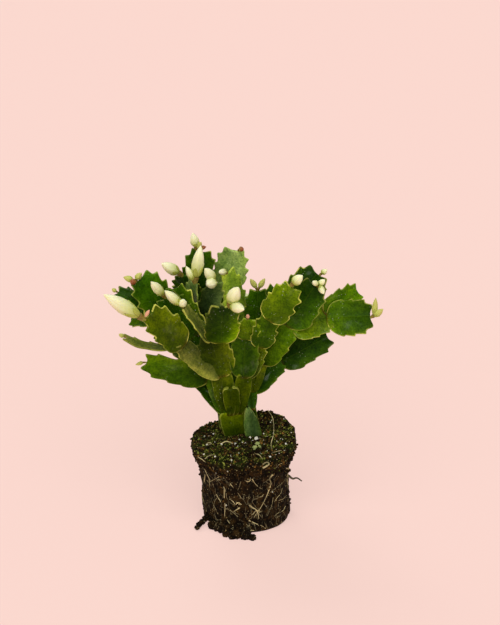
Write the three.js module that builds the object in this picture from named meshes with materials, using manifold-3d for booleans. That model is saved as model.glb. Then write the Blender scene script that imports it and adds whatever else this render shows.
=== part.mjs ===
// A christmas cactus with closed cream buds, standing on its bare root ball.
//
// Units are millimetres, +Z is up, and the origin is the centre of the root ball's flat underside.
// The viewer stands on the -Y side and looks along +Y, with +X on the right.
//
// Four cuttings grow in the one root ball. Each cutting is a chain of flat toothed segments, and a
// segment's base is sunk into the tip of the segment that it grows from. Buds sit at the tips.

import * as THREE from 'three';
import { mergeVertices } from 'three/addons/utils/BufferGeometryUtils.js';
import Module from 'manifold-3d';

const wasm = await Module();
wasm.setup();

// Driving dimensions -----------------------------------------------------------------------------

const ball = {
  height: 65,             // underside to the rim of the plug
  topFrom: 62,            // everything above this height belongs to the plug's top
  lipFrom: 52,            // the flared lip starts at this height
  lean: -2.4,             // how far the rim's centre lies to the side of the foot's centre
  backRise: 8,            // how much higher the soil stands at the back on the right
  rimRise: 3.4,           // how much it rises towards the rim, all round but in front
  sides: 44,
  sideRelief: 0.3,        // depth of the crumbly relief on the side
  lipRelief: 0.6,
  topRelief: 0.55,
};

const rootNet = {
  count: 18,
  step: 2.4,              // angle from one root's start to the next, in radians
  topFrom: 22,            // the lowest height at which a root starts
  topSpan: 30,            // and how much higher the highest starts
  thickness: 1.6,
  lift: 0.15,             // how far a root's middle stands off the soil
  sides: 4,
};

// The middle line of the one stray root that sticks out on the right
const strayRoot = [[30, -3, 36], [36, -4, 35.6], [40, -4.5, 32.5], [46, -5, 32]];
const strayThickness = 1.8;

// Lumps of soil at the foot of the plug: x, y, z and radius
const crumbs = [
  [-31, -17, 6.6, 3], [-33.5, -20, 5.4, 2.7], [-36, -23, 4, 2.5], [-38.5, -26, 2.8, 2.4], [-40, -29, 1.9, 2.2],
  [-20, -32, 3.5, 4.6], [-13, -35.5, 3.5, 5.4], [-5, -36.5, 3, 5.4], [-16, -39.5, 2, 3.6], [-8, -42, 2.5, 4.3],
  [-1, -43.5, 2, 3.8], [5, -45.8, 1.6, 3], [-12, -44, 1.5, 2.6], [0, -38.5, 2, 4], [-27.5, -26, 2.6, 4.2],
  [-23, -29.5, 2.6, 4],
];

const slot = {
  depth: 11,              // how deep a cutting stands in the soil
  clearance: 0.35,
};

const blade = {
  ribHalf: 1.25,          // half the thickness along the midrib
  edgeHalf: 0.55,         // half the thickness at the edge
  apex: 0.94,             // the middle of the tip, as a share of the length to the two end teeth
  overlap: 2.4,           // how far a base is sunk into the tip that carries it
  cup: 1.6,               // hollow across the face
};

const bud = {
  seat: 0.35,             // gap between a bud and the tip that carries it
  sides: 8,
  leanLift: 2.4,          // how far a bud that leans away from its segment stands off the tip
  small: 6,               // a bud narrower than this has fewer sides and a plainer profile
};

const finish = {
  soil: { color: 0x2e1f12, roughness: 0.95, metalness: 0 },
  stem: { color: 0x46661a, roughness: 0.42, metalness: 0 },
  bud: { color: 0xe9e8ae, roughness: 0.45, metalness: 0 },
};

// Outlines of one side of a segment, as [share of the length, share of the half width] ------------

const toothed = [
  [0, 0.22], [0.09, 0.72], [0.33, 0.98], [0.57, 1.04], [0.60, 0.86],
  [0.80, 0.92], [0.83, 0.66], [1.0, 0.5],
];
const woody = [[0, 0.62], [0.18, 0.84], [0.55, 1.0], [0.84, 0.97], [0.97, 0.70]];
const pointed = [[0, 0.92], [0.22, 1.05], [0.48, 0.94], [0.74, 0.68], [0.97, 0.34]];

// The plant ----------------------------------------------------------------------------------------
//
// Each row is a segment: its name, what it grows from, the middle of its tip, its width, the turn of
// its face in degrees (0 faces the viewer), how far along the carrying tip it sits, and its bow.

const frontHeart = [
  ['trunk', 'soil', [-12, 11, 88], 23, 20, 0, 0, woody],
  ['stub', 'trunk', [-13, 1, 113], 14, 0, 1, 0, woody],
  ['front_neck', 'trunk', [-20, 4, 125], 18, -8, -3, 0, woody],
  ['left_neck', 'trunk', [-28, 13, 120], 16, -10, -5, 0, woody],
  ['right_neck', 'trunk', [-2, 2, 124], 14, 10, 5, 0, woody],
  ['low_left', 'trunk', [-43, 24, 112], 14, 30, -4, 1],
];

const frontLeft = [
  ['grey_arm', 'front_neck', [-53, -14, 157], 18, 10, -3, -2],
  ['heart', 'front_neck', [-28, -8, 160], 27, -8, 0, -2],
  ['front_left', 'grey_arm', [-75, -28, 189], 27, 14, 1, 2],
  ['blade_edge', 'grey_arm', [-95, -10, 161.5], 20, 72, 3, -6],
  ['oblique', 'heart', [-49, -10, 187], 24, 70, -2, 0],
  ['front_top', 'heart', [-19, -28, 195], 29, 8, 7, 3],
  ['low_arm', 'left_neck', [-80, 0, 136], 22, -15, -3, 3],
  ['left_riser', 'left_neck', [-43, 14, 154], 22, 0, 1, 0],
  ['left_broad', 'left_riser', [-64, 3, 190], 28, 12, -3, 1],
  ['left_upper', 'left_riser', [-57, 17, 193], 26, -25, 3, 2],
];

const frontRight = [
  ['mid_riser', 'right_neck', [-1, 1, 158], 23, 0, 0, 0],
  ['mid_top', 'mid_riser', [3, -4, 174], 19, 10, 0, 0],
  ['knee', 'right_neck', [12, 2, 150], 15, 0, 3, -1],
  ['knee_upper', 'knee', [18, -6, 178], 20, 5, 0, 0],
  ['bright', 'knee_upper', [36, -15, 206], 26, 0, 1, 2],
];

const rightLimbs = [
  ['spur', 'soil', [1, 8, 92], 14, 10, 0, 0, pointed],
  ['hidden_neck', 'spur', [4, 21, 103], 9, 0, 3, 0, woody],
  ['outer_neck', 'hidden_neck', [11, 18.5, 130], 13, 10, 1, 0, woody],
  ['low_right', 'hidden_neck', [29, 30, 124], 18, -15, 0, 2],
  ['right_broad', 'outer_neck', [35, 4, 167], 25, 5, 0, 2],
  ['right_dark', 'right_broad', [54, 0, 202], 31, 0, -1, 3],
  ['right_light', 'right_broad', [67, 10, 170], 24, -8, 4, -1],
  ['right_under', 'low_right', [66, 31, 145], 25, -8, 0, 2],
  ['far_right', 'right_light', [99, 8, 173], 29, 0, -1, -2],
  ['far_upper', 'right_light', [89, 26, 187], 22, 15, -5, 1],
];

const backLeftLimbs = [
  ['back_trunk', 'soil', [-18, 33, 98], 15, 10, 0, 0, woody],
  ['back_neck', 'back_trunk', [-32, 35, 124], 16, 10, 0, 0, woody],
  ['left_out', 'back_neck', [-52, 34, 147], 24, 10, -3, 1],
  ['left_far', 'left_out', [-70, 34, 166], 24, 10, 0, 1],
  ['left_crown', 'left_far', [-86, 32, 195], 30, 20, 2, 2],
  ['left_dark', 'left_far', [-104, 38, 181], 20, 40, -3, 1],
  ['left_small', 'left_far', [-94, 44, 154], 15, 30, -4, 0],
  ['crown_stem', 'back_neck', [-40, 36, 151], 22, 40, 3, 0],
  ['crown_left', 'crown_stem', [-42, 40, 182], 25, -30, -2, 1],
  ['crown_top', 'crown_left', [-36, 36, 217], 27, -5, 2, 1],
  ['crown_west', 'crown_left', [-51, 32, 198], 22, -20, -4, 1],
  ['crown_side', 'crown_stem', [-42, 16, 198], 22, -62, -1, 1],
  ['crown_inner', 'crown_stem', [-25, 18, 197], 20, 15, 3, 1],
  ['rear_left', 'back_trunk', [-47, 60, 118], 24, 130, 3, 2],
  ['rear_left_tip', 'rear_left', [-76, 72, 138], 25, 150, 2, 3],
  ['rear_left_up', 'rear_left', [-50, 70, 156], 24, 110, -3, 2],
];

const backRightLimbs = [
  ['rear_trunk', 'soil', [-2, 34, 96], 15, -10, 0, 0, woody],
  ['rear_neck', 'rear_trunk', [-6, 40, 121], 22, 0, 0, 0, woody],
  ['rear_riser', 'rear_neck', [-12, 46, 152], 23, -20, -2, 0],
  ['pale_crown', 'rear_riser', [-17, 48, 186], 18, -25, 0, 1],
  ['pale_top', 'pale_crown', [-10, 42, 216], 28, 0, 1, 1],
  ['green_top', 'rear_riser', [-15, 30, 201], 22, 32, 5, 1],
  ['east_neck', 'rear_neck', [10, 40, 150], 20, 50, 3, 0],
  ['east_blade', 'east_neck', [9, 29, 186], 22, 5, -2, 1],
  ['east_behind', 'east_neck', [24, 50, 180], 20, 10, 1, 1],
  ['east_out', 'east_neck', [38, 26, 176], 22, -10, 5, 1],
  ['east_crown', 'east_out', [57, 28, 201], 31, -5, 0, 2],
  ['rear_right', 'rear_trunk', [26, 60, 114], 24, 235, -3, 2],
  ['rear_right_tip', 'rear_right', [56, 68, 134], 25, 205, 0, 3],
  ['rear_right_up', 'rear_right', [25, 67, 137], 24, 250, 3, 2],
  ['rear_high', 'rear_right_up', [7, 62, 158], 23, 215, 0, -2],
];

const cuttings = {
  stem_main: {
    foot: [-10, 11, 70], half: [7.2, 3.1],
    limbs: [...frontHeart, ...frontLeft, ...frontRight],
  },
  stem_right: { foot: [5, 7, 70.5], half: [4.4, 2.6], limbs: rightLimbs },
  stem_back_left: { foot: [-17, 24, 70.5], half: [6, 3], limbs: backLeftLimbs },
  stem_back_right: { foot: [4, 25, 70.5], half: [6, 3], limbs: backRightLimbs },
};

// Each row is a cluster of buds: its name, the segment that carries it, where it sits along that tip,
// and for each bud in it the place of its point and its width.

const budClusters = [
  ['bud_front_left', 'front_left', -6, [[-110, -42, 211, 11.4], [-75, -34, 195, 3]]],
  ['bud_blade_edge', 'blade_edge', 0, [[-101, -11, 165, 3.4]]],
  ['bud_low_arm', 'low_arm', 0, [[-89, -1, 134, 3]]],
  ['bud_left_broad', 'left_broad', 0, [[-75, -7, 208, 7.4]]],
  ['bud_oblique', 'oblique', 0, [[-64, -16, 204, 7.4], [-50, -17, 196, 6.4]]],
  ['bud_front_top', 'front_top', 5, [[-6, -37, 215, 10.4], [-1.5, -44, 199, 8]]],
  ['bud_mid_top', 'mid_top', -2, [[1, -7, 180, 3]]],
  ['bud_bright', 'bright', -2, [[44, -17, 217, 7.6]]],
  ['bud_right_dark', 'right_dark', 2, [[52, -8, 208, 4.4], [62, -3, 208, 4.8], [61, -9, 198, 4.8]]],
  ['bud_far_right', 'far_right', 2, [[103, 7, 189, 4.6], [109, 5, 180, 5]]],
  ['bud_left_crown', 'left_crown', -4, [[-99, 29, 198, 5], [-84, 28, 202, 5], [-92, 23, 195, 5]]],
  ['bud_left_dark', 'left_dark', 0, [[-109, 36, 185, 3.4]]],
  ['bud_crown_top', 'crown_top', -4, [[-43, 34, 234, 7], [-36, 32, 227, 3.6], [-32, 34, 222, 3.6]]],
  ['bud_crown_west', 'crown_west', 0, [[-68, 23, 212, 9]]],
  ['bud_crown_side', 'crown_side', 2, [[-36, 16, 230, 9.5], [-48, 14, 213, 5.6]]],
  ['bud_crown_inner', 'crown_inner', 0, [[-33, 12, 212, 8], [-31, 6, 200, 8.6]]],
  ['bud_green_top', 'green_top', 0, [[-22, 18, 206, 5]]],
  ['bud_pale_top', 'pale_top', 3, [[-2, 39, 218, 4]]],
  ['bud_east_blade', 'east_blade', 0, [[3, 25, 198, 4.4], [15, 26, 198, 4.4]]],
  ['bud_east_crown', 'east_crown', 2, [[65, 28, 205, 4.6]]],
  ['bud_rear_left', 'rear_left_tip', 0, [[-90, 76, 146, 7]]],
  ['bud_rear_up', 'rear_left_up', 0, [[-50, 78, 172, 8], [-44, 76, 164, 4.4]]],
  ['bud_rear_right', 'rear_right_tip', 0, [[72, 70, 142, 6]]],
  ['bud_rear_high', 'rear_high', 0, [[-3, 68, 169, 8], [6, 69, 168, 4.6]]],
];

// Solids -------------------------------------------------------------------------------------------

/** A closed three.js geometry as a solid, with its shared corners merged. */
function solidOf(geometry) {
  const bare = geometry.clone();
  bare.deleteAttribute('normal');
  bare.deleteAttribute('uv');
  const merged = mergeVertices(bare, 1e-4);
  return new wasm.Manifold(new wasm.Mesh({
    numProp: 3,
    vertProperties: Float32Array.from(merged.attributes.position.array),
    triVerts: Uint32Array.from(merged.index.array),
  }));
}

/** Joins solids and keeps the one body that holds them, without loose scraps or sealed hollows. */
function fuse(solids) {
  const joined = solids.reduce((sum, next) => sum.add(next));
  const bodies = joined.decompose();
  bodies.sort((a, b) => b.volume() - a.volume());
  return bodies[0];
}

/** A solid as a three.js geometry. */
function geometryOf(solid) {
  const { vertProperties, triVerts, numProp } = solid.getMesh();
  const corners = new Float32Array(vertProperties.length / numProp * 3);
  for (let i = 0; i < corners.length / 3; i++) {
    for (let k = 0; k < 3; k++) corners[3 * i + k] = vertProperties[numProp * i + k];
  }
  const geometry = new THREE.BufferGeometry();
  geometry.setAttribute('position', new THREE.BufferAttribute(corners, 3));
  geometry.setIndex(new THREE.BufferAttribute(Uint32Array.from(triVerts), 1));
  geometry.computeVertexNormals();
  return geometry;
}

/** A repeatable number from 0 to 1 for a whole-number seed. */
function chance(seed) {
  const wave = Math.sin(seed * 12.9898 + 4.1414) * 43758.5453;
  return wave - Math.floor(wave);
}

// Segments -----------------------------------------------------------------------------------------

const towardViewer = new THREE.Vector3(0, -0.93, 0.37);
const frames = new Map();

/** Works out where a segment starts, its directions and its length, and remembers them by name. */
function placeLimb([name, from, tip, width, turn, along, bow, outline = toothed], foot, seed) {
  const carrier = frames.get(from);
  const base = new THREE.Vector3(...foot);
  if (carrier) {
    base.copy(carrier.apex);
    base.addScaledVector(carrier.side, along);
    base.addScaledVector(carrier.rise, -blade.overlap - Math.abs(along) * 0.25);
  }
  const apex = new THREE.Vector3(...tip);
  const rise = apex.clone().sub(base);
  const length = rise.length() / (outline === toothed ? blade.apex : woody.at(-1)[0]);
  rise.normalize();
  const face = towardViewer.clone().addScaledVector(rise, -towardViewer.dot(rise)).normalize();
  face.applyAxisAngle(rise, THREE.MathUtils.degToRad(turn));
  const side = new THREE.Vector3().crossVectors(rise, face);
  const frame = { seed, base, apex, rise, face, side, length, width, bow, outline };
  frames.set(name, frame);
  return frame;
}

/** Splits the far face of a box into triangles along the same diagonals as its near face. */
function splitAlike(box) {
  const far = box.groups[5];
  const index = box.index;
  for (let i = far.start; i < far.start + far.count; i += 6) {
    const [a, b, d, , c] = Array.from({ length: 6 }, (_, k) => index.getX(i + k));
    [a, b, c, a, c, d].forEach((corner, k) => index.setX(i + k, corner));
  }
}

/** One flat segment: a lens in section, with forward teeth and a hollow face, swollen by a margin. */
function limbSolid(frame, swell = 0) {
  const { seed, base, rise, face, side, length, width, bow, outline } = frame;
  const rows = outline.length - 1;
  const last = outline === toothed ? blade.apex : outline[rows][0];
  const box = new THREE.BoxGeometry(1, 1, 1, 2, rows, 1);
  splitAlike(box);
  const spot = box.attributes.position;
  for (let i = 0; i < spot.count; i++) {
    const column = Math.round(spot.getX(i) * 2);
    const row = Math.round((spot.getY(i) + 0.5) * rows);
    const layer = Math.sign(spot.getZ(i));
    const [share, spread] = outline[row];
    const shift = row > 0 && row < rows ? 0.03 * (chance(seed + column) - 0.5) : 0;
    const t = column === 0 ? share * last / outline[rows][0] : share + shift;
    const across = column * (spread * width / 2 * (0.94 + 0.12 * chance(seed * 3 + column)) + swell);
    const half = swell + (column === 0 ? blade.ribHalf : blade.edgeHalf);
    const hollow = blade.cup * (across * 2 / width) ** 2;
    const arch = bow * 4 * t * (1 - t);
    const place = base.clone().addScaledVector(rise, t * (length + swell)).addScaledVector(side, across);
    place.addScaledVector(face, hollow + arch + layer * half);
    spot.setXYZ(i, place.x, place.y, place.z);
  }
  return solidOf(box);
}

/** The plain oval foot of a cutting, from a little above the soil down to the floor of its slot. */
function footPeg({ foot, half }, margin, top) {
  const height = slot.depth + top;
  const peg = new THREE.CylinderGeometry(1, 1, height, 14);
  peg.rotateX(Math.PI / 2);
  peg.scale(half[0] + margin, half[1] + margin, 1);
  peg.translate(foot[0], foot[1], foot[2] - slot.depth + height / 2 - margin);
  return solidOf(peg);
}

function cuttingGeometry(cutting, order) {
  const solids = cutting.limbs.map((limb, i) => limbSolid(placeLimb(limb, cutting.foot, 40 * order + 7 * i)));
  return geometryOf(fuse([...solids, footPeg(cutting, 0, 3)]));
}

// Buds ---------------------------------------------------------------------------------------------

/** One closed bud with the small cup that it grows from, standing on the origin along +Z. */
function budGeometry(length, width) {
  const r = width / 2;
  const cup = Math.min(0.24 * length, 0.9 * width);
  const full = [
    [0, 0], [0.34 * r, 0], [0.52 * r, 0.35 * cup], [0.46 * r, 0.95 * cup],
    [0.84 * r, cup + 0.18 * (length - cup)], [r, cup + 0.42 * (length - cup)],
    [0.62 * r, cup + 0.8 * (length - cup)], [0, length],
  ];
  const small = width < bud.small;
  const profile = full.filter((_, i) => !small || i % 2 === 1 || i === 0);
  const sides = small ? bud.sides - 2 : bud.sides;
  const lathe = new THREE.LatheGeometry(profile.map(([x, y]) => new THREE.Vector2(x, y)), sides);
  return lathe.rotateX(Math.PI / 2);
}

function clusterGeometry([, carrier, along, points]) {
  const frame = frames.get(carrier);
  const { apex, rise, side } = frame;
  const tip = apex.clone().addScaledVector(side, along);
  const up = new THREE.Vector3(0, 0, 1);
  const solids = points.map(([x, y, z, width]) => {
    const point = new THREE.Vector3(x, y, z);
    const lean = 1 - rise.dot(point.clone().sub(tip).normalize());
    const seat = tip.clone().addScaledVector(rise, bud.seat + 0.6 + bud.leanLift * lean);
    const reach = point.sub(seat);
    const geometry = budGeometry(reach.length(), width);
    geometry.applyQuaternion(new THREE.Quaternion().setFromUnitVectors(up, reach.clone().normalize()));
    return solidOf(geometry.translate(seat.x, seat.y, seat.z));
  });
  return geometryOf(fuse([fuse(solids).subtract(limbSolid(frame, bud.seat))]));
}

// Root ball ----------------------------------------------------------------------------------------

/** Radius and height of the plug from the middle of its top, over rim and lip, to its underside. */
const plugProfile = [
  [0, 68.2], [10, 68], [19, 67], [27, 66], [34, 65.5], [39.5, 66],
  [42.5, 63], [41.8, 58], [39.5, 53.5], [37.4, 47.5], [36.2, 40], [35.4, 31],
  [35.2, 22], [35.6, 13], [36, 5], [35.4, 1.4], [34.2, 0], [0, 0],
];

/** Crumbly relief of the soil, stronger at the lip than on the moulded side. */
function crumb(angle, z) {
  const coarse = Math.sin(5 * angle + 0.11 * z) + Math.sin(9 * angle - 0.23 * z + 1.7);
  const fine = Math.sin(17 * angle + 0.41 * z + 0.6) + Math.sin(23 * angle - 0.37 * z + 2.1);
  return (z > ball.lipFrom ? ball.lipRelief : ball.sideRelief) * (coarse + 0.6 * fine);
}

/** Relief of the top of the soil, which also rises towards the back on the right. */
function topRelief(x, y) {
  const lumps = Math.sin(0.42 * x + 1) * Math.sin(0.47 * y) + Math.sin(0.21 * x - 0.31 * y + 2);
  const rise = Math.max(0, 0.7 * x + 0.72 * y - 13) / 26;
  const rim = Math.max(0, Math.min(1, (y + 30) / 40)) * (Math.hypot(x, y) / 42) ** 4;
  return ball.topRelief * lumps + ball.backRise * rise + ball.rimRise * rim;
}

/** The place on the plug's side at an angle and height, lifted off it by a distance. */
function plugPoint(angle, z, lift) {
  const above = plugProfile.findIndex(([, height], i) => i > 6 && height <= z);
  const [[r0, z0], [r1, z1]] = [plugProfile[above - 1], plugProfile[above]];
  const r = r0 + (r1 - r0) * (z0 - z) / (z0 - z1) + crumb(angle, z) + lift;
  return new THREE.Vector3(r * Math.cos(angle) + ball.lean * z / ball.height, r * Math.sin(angle), z);
}

function plugSolid() {
  const points = plugProfile.map(([r, z]) => new THREE.Vector2(r, z));
  const lathe = new THREE.LatheGeometry(points.reverse(), ball.sides);
  lathe.rotateX(Math.PI / 2);
  const spot = lathe.attributes.position;
  for (let i = 0; i < spot.count; i++) {
    const [x, y, z] = [spot.getX(i), spot.getY(i), spot.getZ(i)];
    const r = Math.hypot(x, y);
    const onTop = z > ball.topFrom;
    const out = onTop || z < 1 ? 0 : crumb(Math.atan2(y, x), z) / r;
    const up = onTop ? topRelief(x, y) : 0;
    const lean = ball.lean * z / ball.height;
    spot.setXYZ(i, x * (1 + out) + lean, y * (1 + out), z + up);
  }
  return solidOf(lathe);
}

/** One root that runs over the side of the plug, half sunk in it. */
function rootSolid(places, thickness) {
  const curve = new THREE.CatmullRomCurve3(places);
  const corners = Array.from({ length: rootNet.sides }, (_, i) => {
    const turn = 2 * Math.PI * i / rootNet.sides;
    return new THREE.Vector2(Math.cos(turn), Math.sin(turn)).multiplyScalar(thickness / 2);
  });
  return solidOf(new THREE.ExtrudeGeometry(new THREE.Shape(corners), {
    steps: places.length - 1, extrudePath: curve, bevelEnabled: false,
  }));
}

/** The net of roots: each starts at a seeded place on the side and wanders down and round. */
function rootSolids() {
  const roots = [];
  for (let i = 0; i < rootNet.count; i++) {
    let angle = i * rootNet.step;
    let z = rootNet.topFrom + rootNet.topSpan * chance(3 * i + 1);
    const drift = 0.5 * (chance(3 * i + 2) - 0.5);
    const places = [];
    for (let k = 0; k < 4 && z > 3; k++) {
      places.push(plugPoint(angle, z, rootNet.lift));
      angle += drift + 0.12 * (chance(11 * i + k) - 0.5);
      z -= 3 + 6 * chance(7 * i + k);
    }
    if (places.length > 1) roots.push(rootSolid(places, rootNet.thickness * (0.8 + 0.5 * chance(i))));
  }
  roots.push(rootSolid(strayRoot.map((place) => new THREE.Vector3(...place)), strayThickness));
  return roots;
}

/** Lumps of soil that lean out at the foot of the plug, cut flat where they lie on the floor. */
function footCrumbs() {
  const lumps = crumbs.map(([x, y, z, size], i) => {
    const lump = new THREE.IcosahedronGeometry(size, 0);
    lump.rotateX(2.4 * i).rotateY(1.7 * i).scale(1.1, 1, 0.8).translate(x, y, z);
    return solidOf(lump);
  });
  const floor = solidOf(new THREE.BoxGeometry(200, 200, 20).translate(0, 0, -10));
  return lumps.map((lump) => lump.subtract(floor));
}

function rootBallGeometry() {
  let solid = fuse([plugSolid(), ...rootSolids(), ...footCrumbs()]);
  for (const cutting of Object.values(cuttings)) {
    solid = solid.subtract(footPeg(cutting, slot.clearance, 20));
  }
  return geometryOf(fuse([solid]));
}

// The part -----------------------------------------------------------------------------------------

const group = new THREE.Group();

function addPiece(name, geometry, surface) {
  const mesh = new THREE.Mesh(geometry, new THREE.MeshStandardMaterial(surface));
  mesh.name = name;
  group.add(mesh);
}

addPiece('root_ball', rootBallGeometry(), finish.soil);
Object.entries(cuttings).forEach(([name, cutting], order) => {
  addPiece(name, cuttingGeometry(cutting, order + 1), finish.stem);
});
for (const cluster of budClusters) {
  addPiece(cluster[0], clusterGeometry(cluster), finish.bud);
}

export default group;
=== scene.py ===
"""A christmas cactus with closed cream buds, standing on its bare root ball.

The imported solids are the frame. Each leafy stem, each cluster of buds and the root ball gets a finer piece
in the same place, and the crumbs, grains, moss and fine roots are pieces of their own. Lengths in the
tables are millimetres, and every mesh is in metres, +Z up.
"""

import math
import random
from collections import namedtuple

import bpy
from bpy.props import FloatProperty, FloatVectorProperty, IntProperty, PointerProperty
from mathutils import Matrix, Vector, noise


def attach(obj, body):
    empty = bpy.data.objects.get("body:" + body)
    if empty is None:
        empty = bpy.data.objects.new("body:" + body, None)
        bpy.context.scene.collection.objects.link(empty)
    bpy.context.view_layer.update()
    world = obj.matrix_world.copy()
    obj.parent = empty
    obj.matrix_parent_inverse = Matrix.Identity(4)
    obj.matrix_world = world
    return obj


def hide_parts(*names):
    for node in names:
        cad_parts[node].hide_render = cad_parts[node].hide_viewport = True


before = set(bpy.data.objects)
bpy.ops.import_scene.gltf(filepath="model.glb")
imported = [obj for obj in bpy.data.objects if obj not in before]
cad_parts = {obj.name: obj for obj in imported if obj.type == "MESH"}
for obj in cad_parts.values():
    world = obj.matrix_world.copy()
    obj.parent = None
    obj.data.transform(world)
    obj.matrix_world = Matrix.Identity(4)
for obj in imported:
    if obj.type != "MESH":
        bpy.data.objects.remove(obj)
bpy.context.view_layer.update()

bl_info = {
    "name": "Christmas Cactus on its Root Ball",
    "version": (1, 0, 0),
    "blender": (4, 5, 0),
    "location": "View3D > Sidebar > Cactus",
    "description": "Builds a leafy cactus with buds, its soil, roots and moss, and a plain stage",
    "category": "Add Mesh",
}

MM = 0.001


def tint(red, green, blue):
    """A display colour, 0 to 255 a channel, as the linear colour that a material takes."""

    def linear(channel):
        share = channel / 255
        return share / 12.92 if share <= 0.04045 else ((share + 0.055) / 1.055) ** 2.4

    return linear(red), linear(green), linear(blue)


# The plant ------------------------------------------------------------------------------------------
#
# A segment: its name, what it grows from, the middle of its tip, its width, the turn of its face in
# degrees (0 faces the viewer), how far along the carrying tip it sits, its bow, its green, how yellow
# its margin is, and its kind: young and toothed, mild with small teeth, old and woody, a trunk, or
# the cut spur.

FRONT_HEART = (
    ("trunk", "soil", (-12, 11, 88), 23, 20, 0, 0, "olive", 0, "trunk"),
    ("stub", "trunk", (-13, 1, 113), 14, 0, 1, 0, "olive", 0.25, "old"),
    ("front_neck", "trunk", (-20, 4, 125), 18, -8, -3, 0, "olive", 0, "old"),
    ("left_neck", "trunk", (-28, 13, 120), 16, -10, -5, 0, "mid", 0, "old"),
    ("right_neck", "trunk", (-2, 2, 124), 14, 10, 5, 0, "olive", 0.1, "old"),
    ("low_left", "trunk", (-43, 24, 112), 14, 30, -4, 1, "deep", 0.1, "mild"),
)
FRONT_LEFT = (
    ("grey_arm", "front_neck", (-53, -14, 157), 18, 10, -3, -2, "grey", 0.3, "mild"),
    ("heart", "front_neck", (-28, -8, 160), 27, -8, 0, -2, "olive", 0.3, "mild"),
    ("front_left", "grey_arm", (-75, -28, 189), 27, 14, 1, 2, "olive", 0.9, "young"),
    ("blade_edge", "grey_arm", (-95, -10, 161.5), 20, 72, 3, -6, "grey", 0.3, "young"),
    ("oblique", "heart", (-49, -10, 187), 24, 70, -2, 0, "grey", 0.5, "young"),
    ("front_top", "heart", (-19, -28, 195), 29, 8, 7, 3, "mid", 0.9, "mild"),
    ("low_arm", "left_neck", (-80, 0, 136), 22, -15, -3, 3, "mid", 0.3, "mild"),
    ("left_riser", "left_neck", (-43, 14, 154), 22, 0, 1, 0, "deep", 0.2, "young"),
    ("left_broad", "left_riser", (-64, 3, 190), 28, 12, -3, 1, "deep", 0.15, "young"),
    ("left_upper", "left_riser", (-57, 17, 193), 26, -25, 3, 2, "mid", 0.9, "young"),
)
FRONT_RIGHT = (
    ("mid_riser", "right_neck", (-1, 1, 158), 23, 0, 0, 0, "mid", 0.2, "mild"),
    ("mid_top", "mid_riser", (3, -4, 174), 19, 10, 0, 0, "light", 0.5, "mild"),
    ("knee", "right_neck", (12, 2, 150), 15, 0, 3, -1, "olive", 0.8, "young"),
    ("knee_upper", "knee", (18, -6, 178), 20, 5, 0, 0, "mid", 0.7, "young"),
    ("bright", "knee_upper", (36, -15, 206), 26, 0, 1, 2, "light", 1, "young"),
)
RIGHT_LIMBS = (
    ("spur", "soil", (1, 8, 92), 14, 10, 0, 0, "blue", 0, "spur"),
    ("hidden_neck", "spur", (4, 21, 103), 9, 0, 3, 0, "deep", 0, "old"),
    ("outer_neck", "hidden_neck", (11, 18.5, 130), 13, 10, 1, 0, "olive", 0.15, "old"),
    ("low_right", "hidden_neck", (29, 30, 124), 18, -15, 0, 2, "deep", 0.1, "mild"),
    ("right_broad", "outer_neck", (35, 4, 167), 25, 5, 0, 2, "mid", 0.6, "mild"),
    ("right_dark", "right_broad", (54, 0, 202), 31, 0, -1, 3, "deep", 0.25, "mild"),
    ("right_light", "right_broad", (67, 10, 170), 24, -8, 4, -1, "light", 0.7, "mild"),
    ("right_under", "low_right", (66, 31, 145), 25, -8, 0, 2, "deep", 0.05, "mild"),
    ("far_right", "right_light", (99, 8, 173), 29, 0, -1, -2, "mid", 0.5, "mild"),
    ("far_upper", "right_light", (89, 26, 187), 22, 15, -5, 1, "mid", 0.4, "young"),
)
BACK_LEFT_LIMBS = (
    ("back_trunk", "soil", (-18, 33, 98), 15, 10, 0, 0, "deep", 0.2, "trunk"),
    ("back_neck", "back_trunk", (-32, 35, 124), 16, 10, 0, 0, "deep", 0.2, "old"),
    ("left_out", "back_neck", (-52, 34, 147), 24, 10, -3, 1, "deep", 0.4, "young"),
    ("left_far", "left_out", (-70, 34, 166), 24, 10, 0, 1, "deep", 0.5, "young"),
    ("left_crown", "left_far", (-86, 32, 195), 30, 20, 2, 2, "deep", 0.5, "young"),
    ("left_dark", "left_far", (-104, 38, 181), 20, 40, -3, 1, "deep", 0.3, "young"),
    ("left_small", "left_far", (-94, 44, 154), 15, 30, -4, 0, "mid", 0.5, "mild"),
    ("crown_stem", "back_neck", (-40, 36, 151), 22, 40, 3, 0, "deep", 0.4, "young"),
    ("crown_left", "crown_stem", (-42, 40, 182), 25, -30, -2, 1, "deep", 0.5, "young"),
    ("crown_top", "crown_left", (-36, 36, 217), 27, -5, 2, 1, "deep", 0.3, "young"),
    ("crown_west", "crown_left", (-51, 32, 198), 22, -20, -4, 1, "deep", 0.3, "young"),
    ("crown_side", "crown_stem", (-42, 16, 198), 22, -62, -1, 1, "blue", 0.05, "young"),
    ("crown_inner", "crown_stem", (-25, 18, 197), 20, 15, 3, 1, "blue", 0.3, "young"),
    ("rear_left", "back_trunk", (-47, 60, 118), 24, 130, 3, 2, "mid", 0.5, "young"),
    ("rear_left_tip", "rear_left", (-76, 72, 138), 25, 150, 2, 3, "mid", 0.7, "young"),
    ("rear_left_up", "rear_left", (-50, 70, 156), 24, 110, -3, 2, "deep", 0.6, "young"),
)
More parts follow.
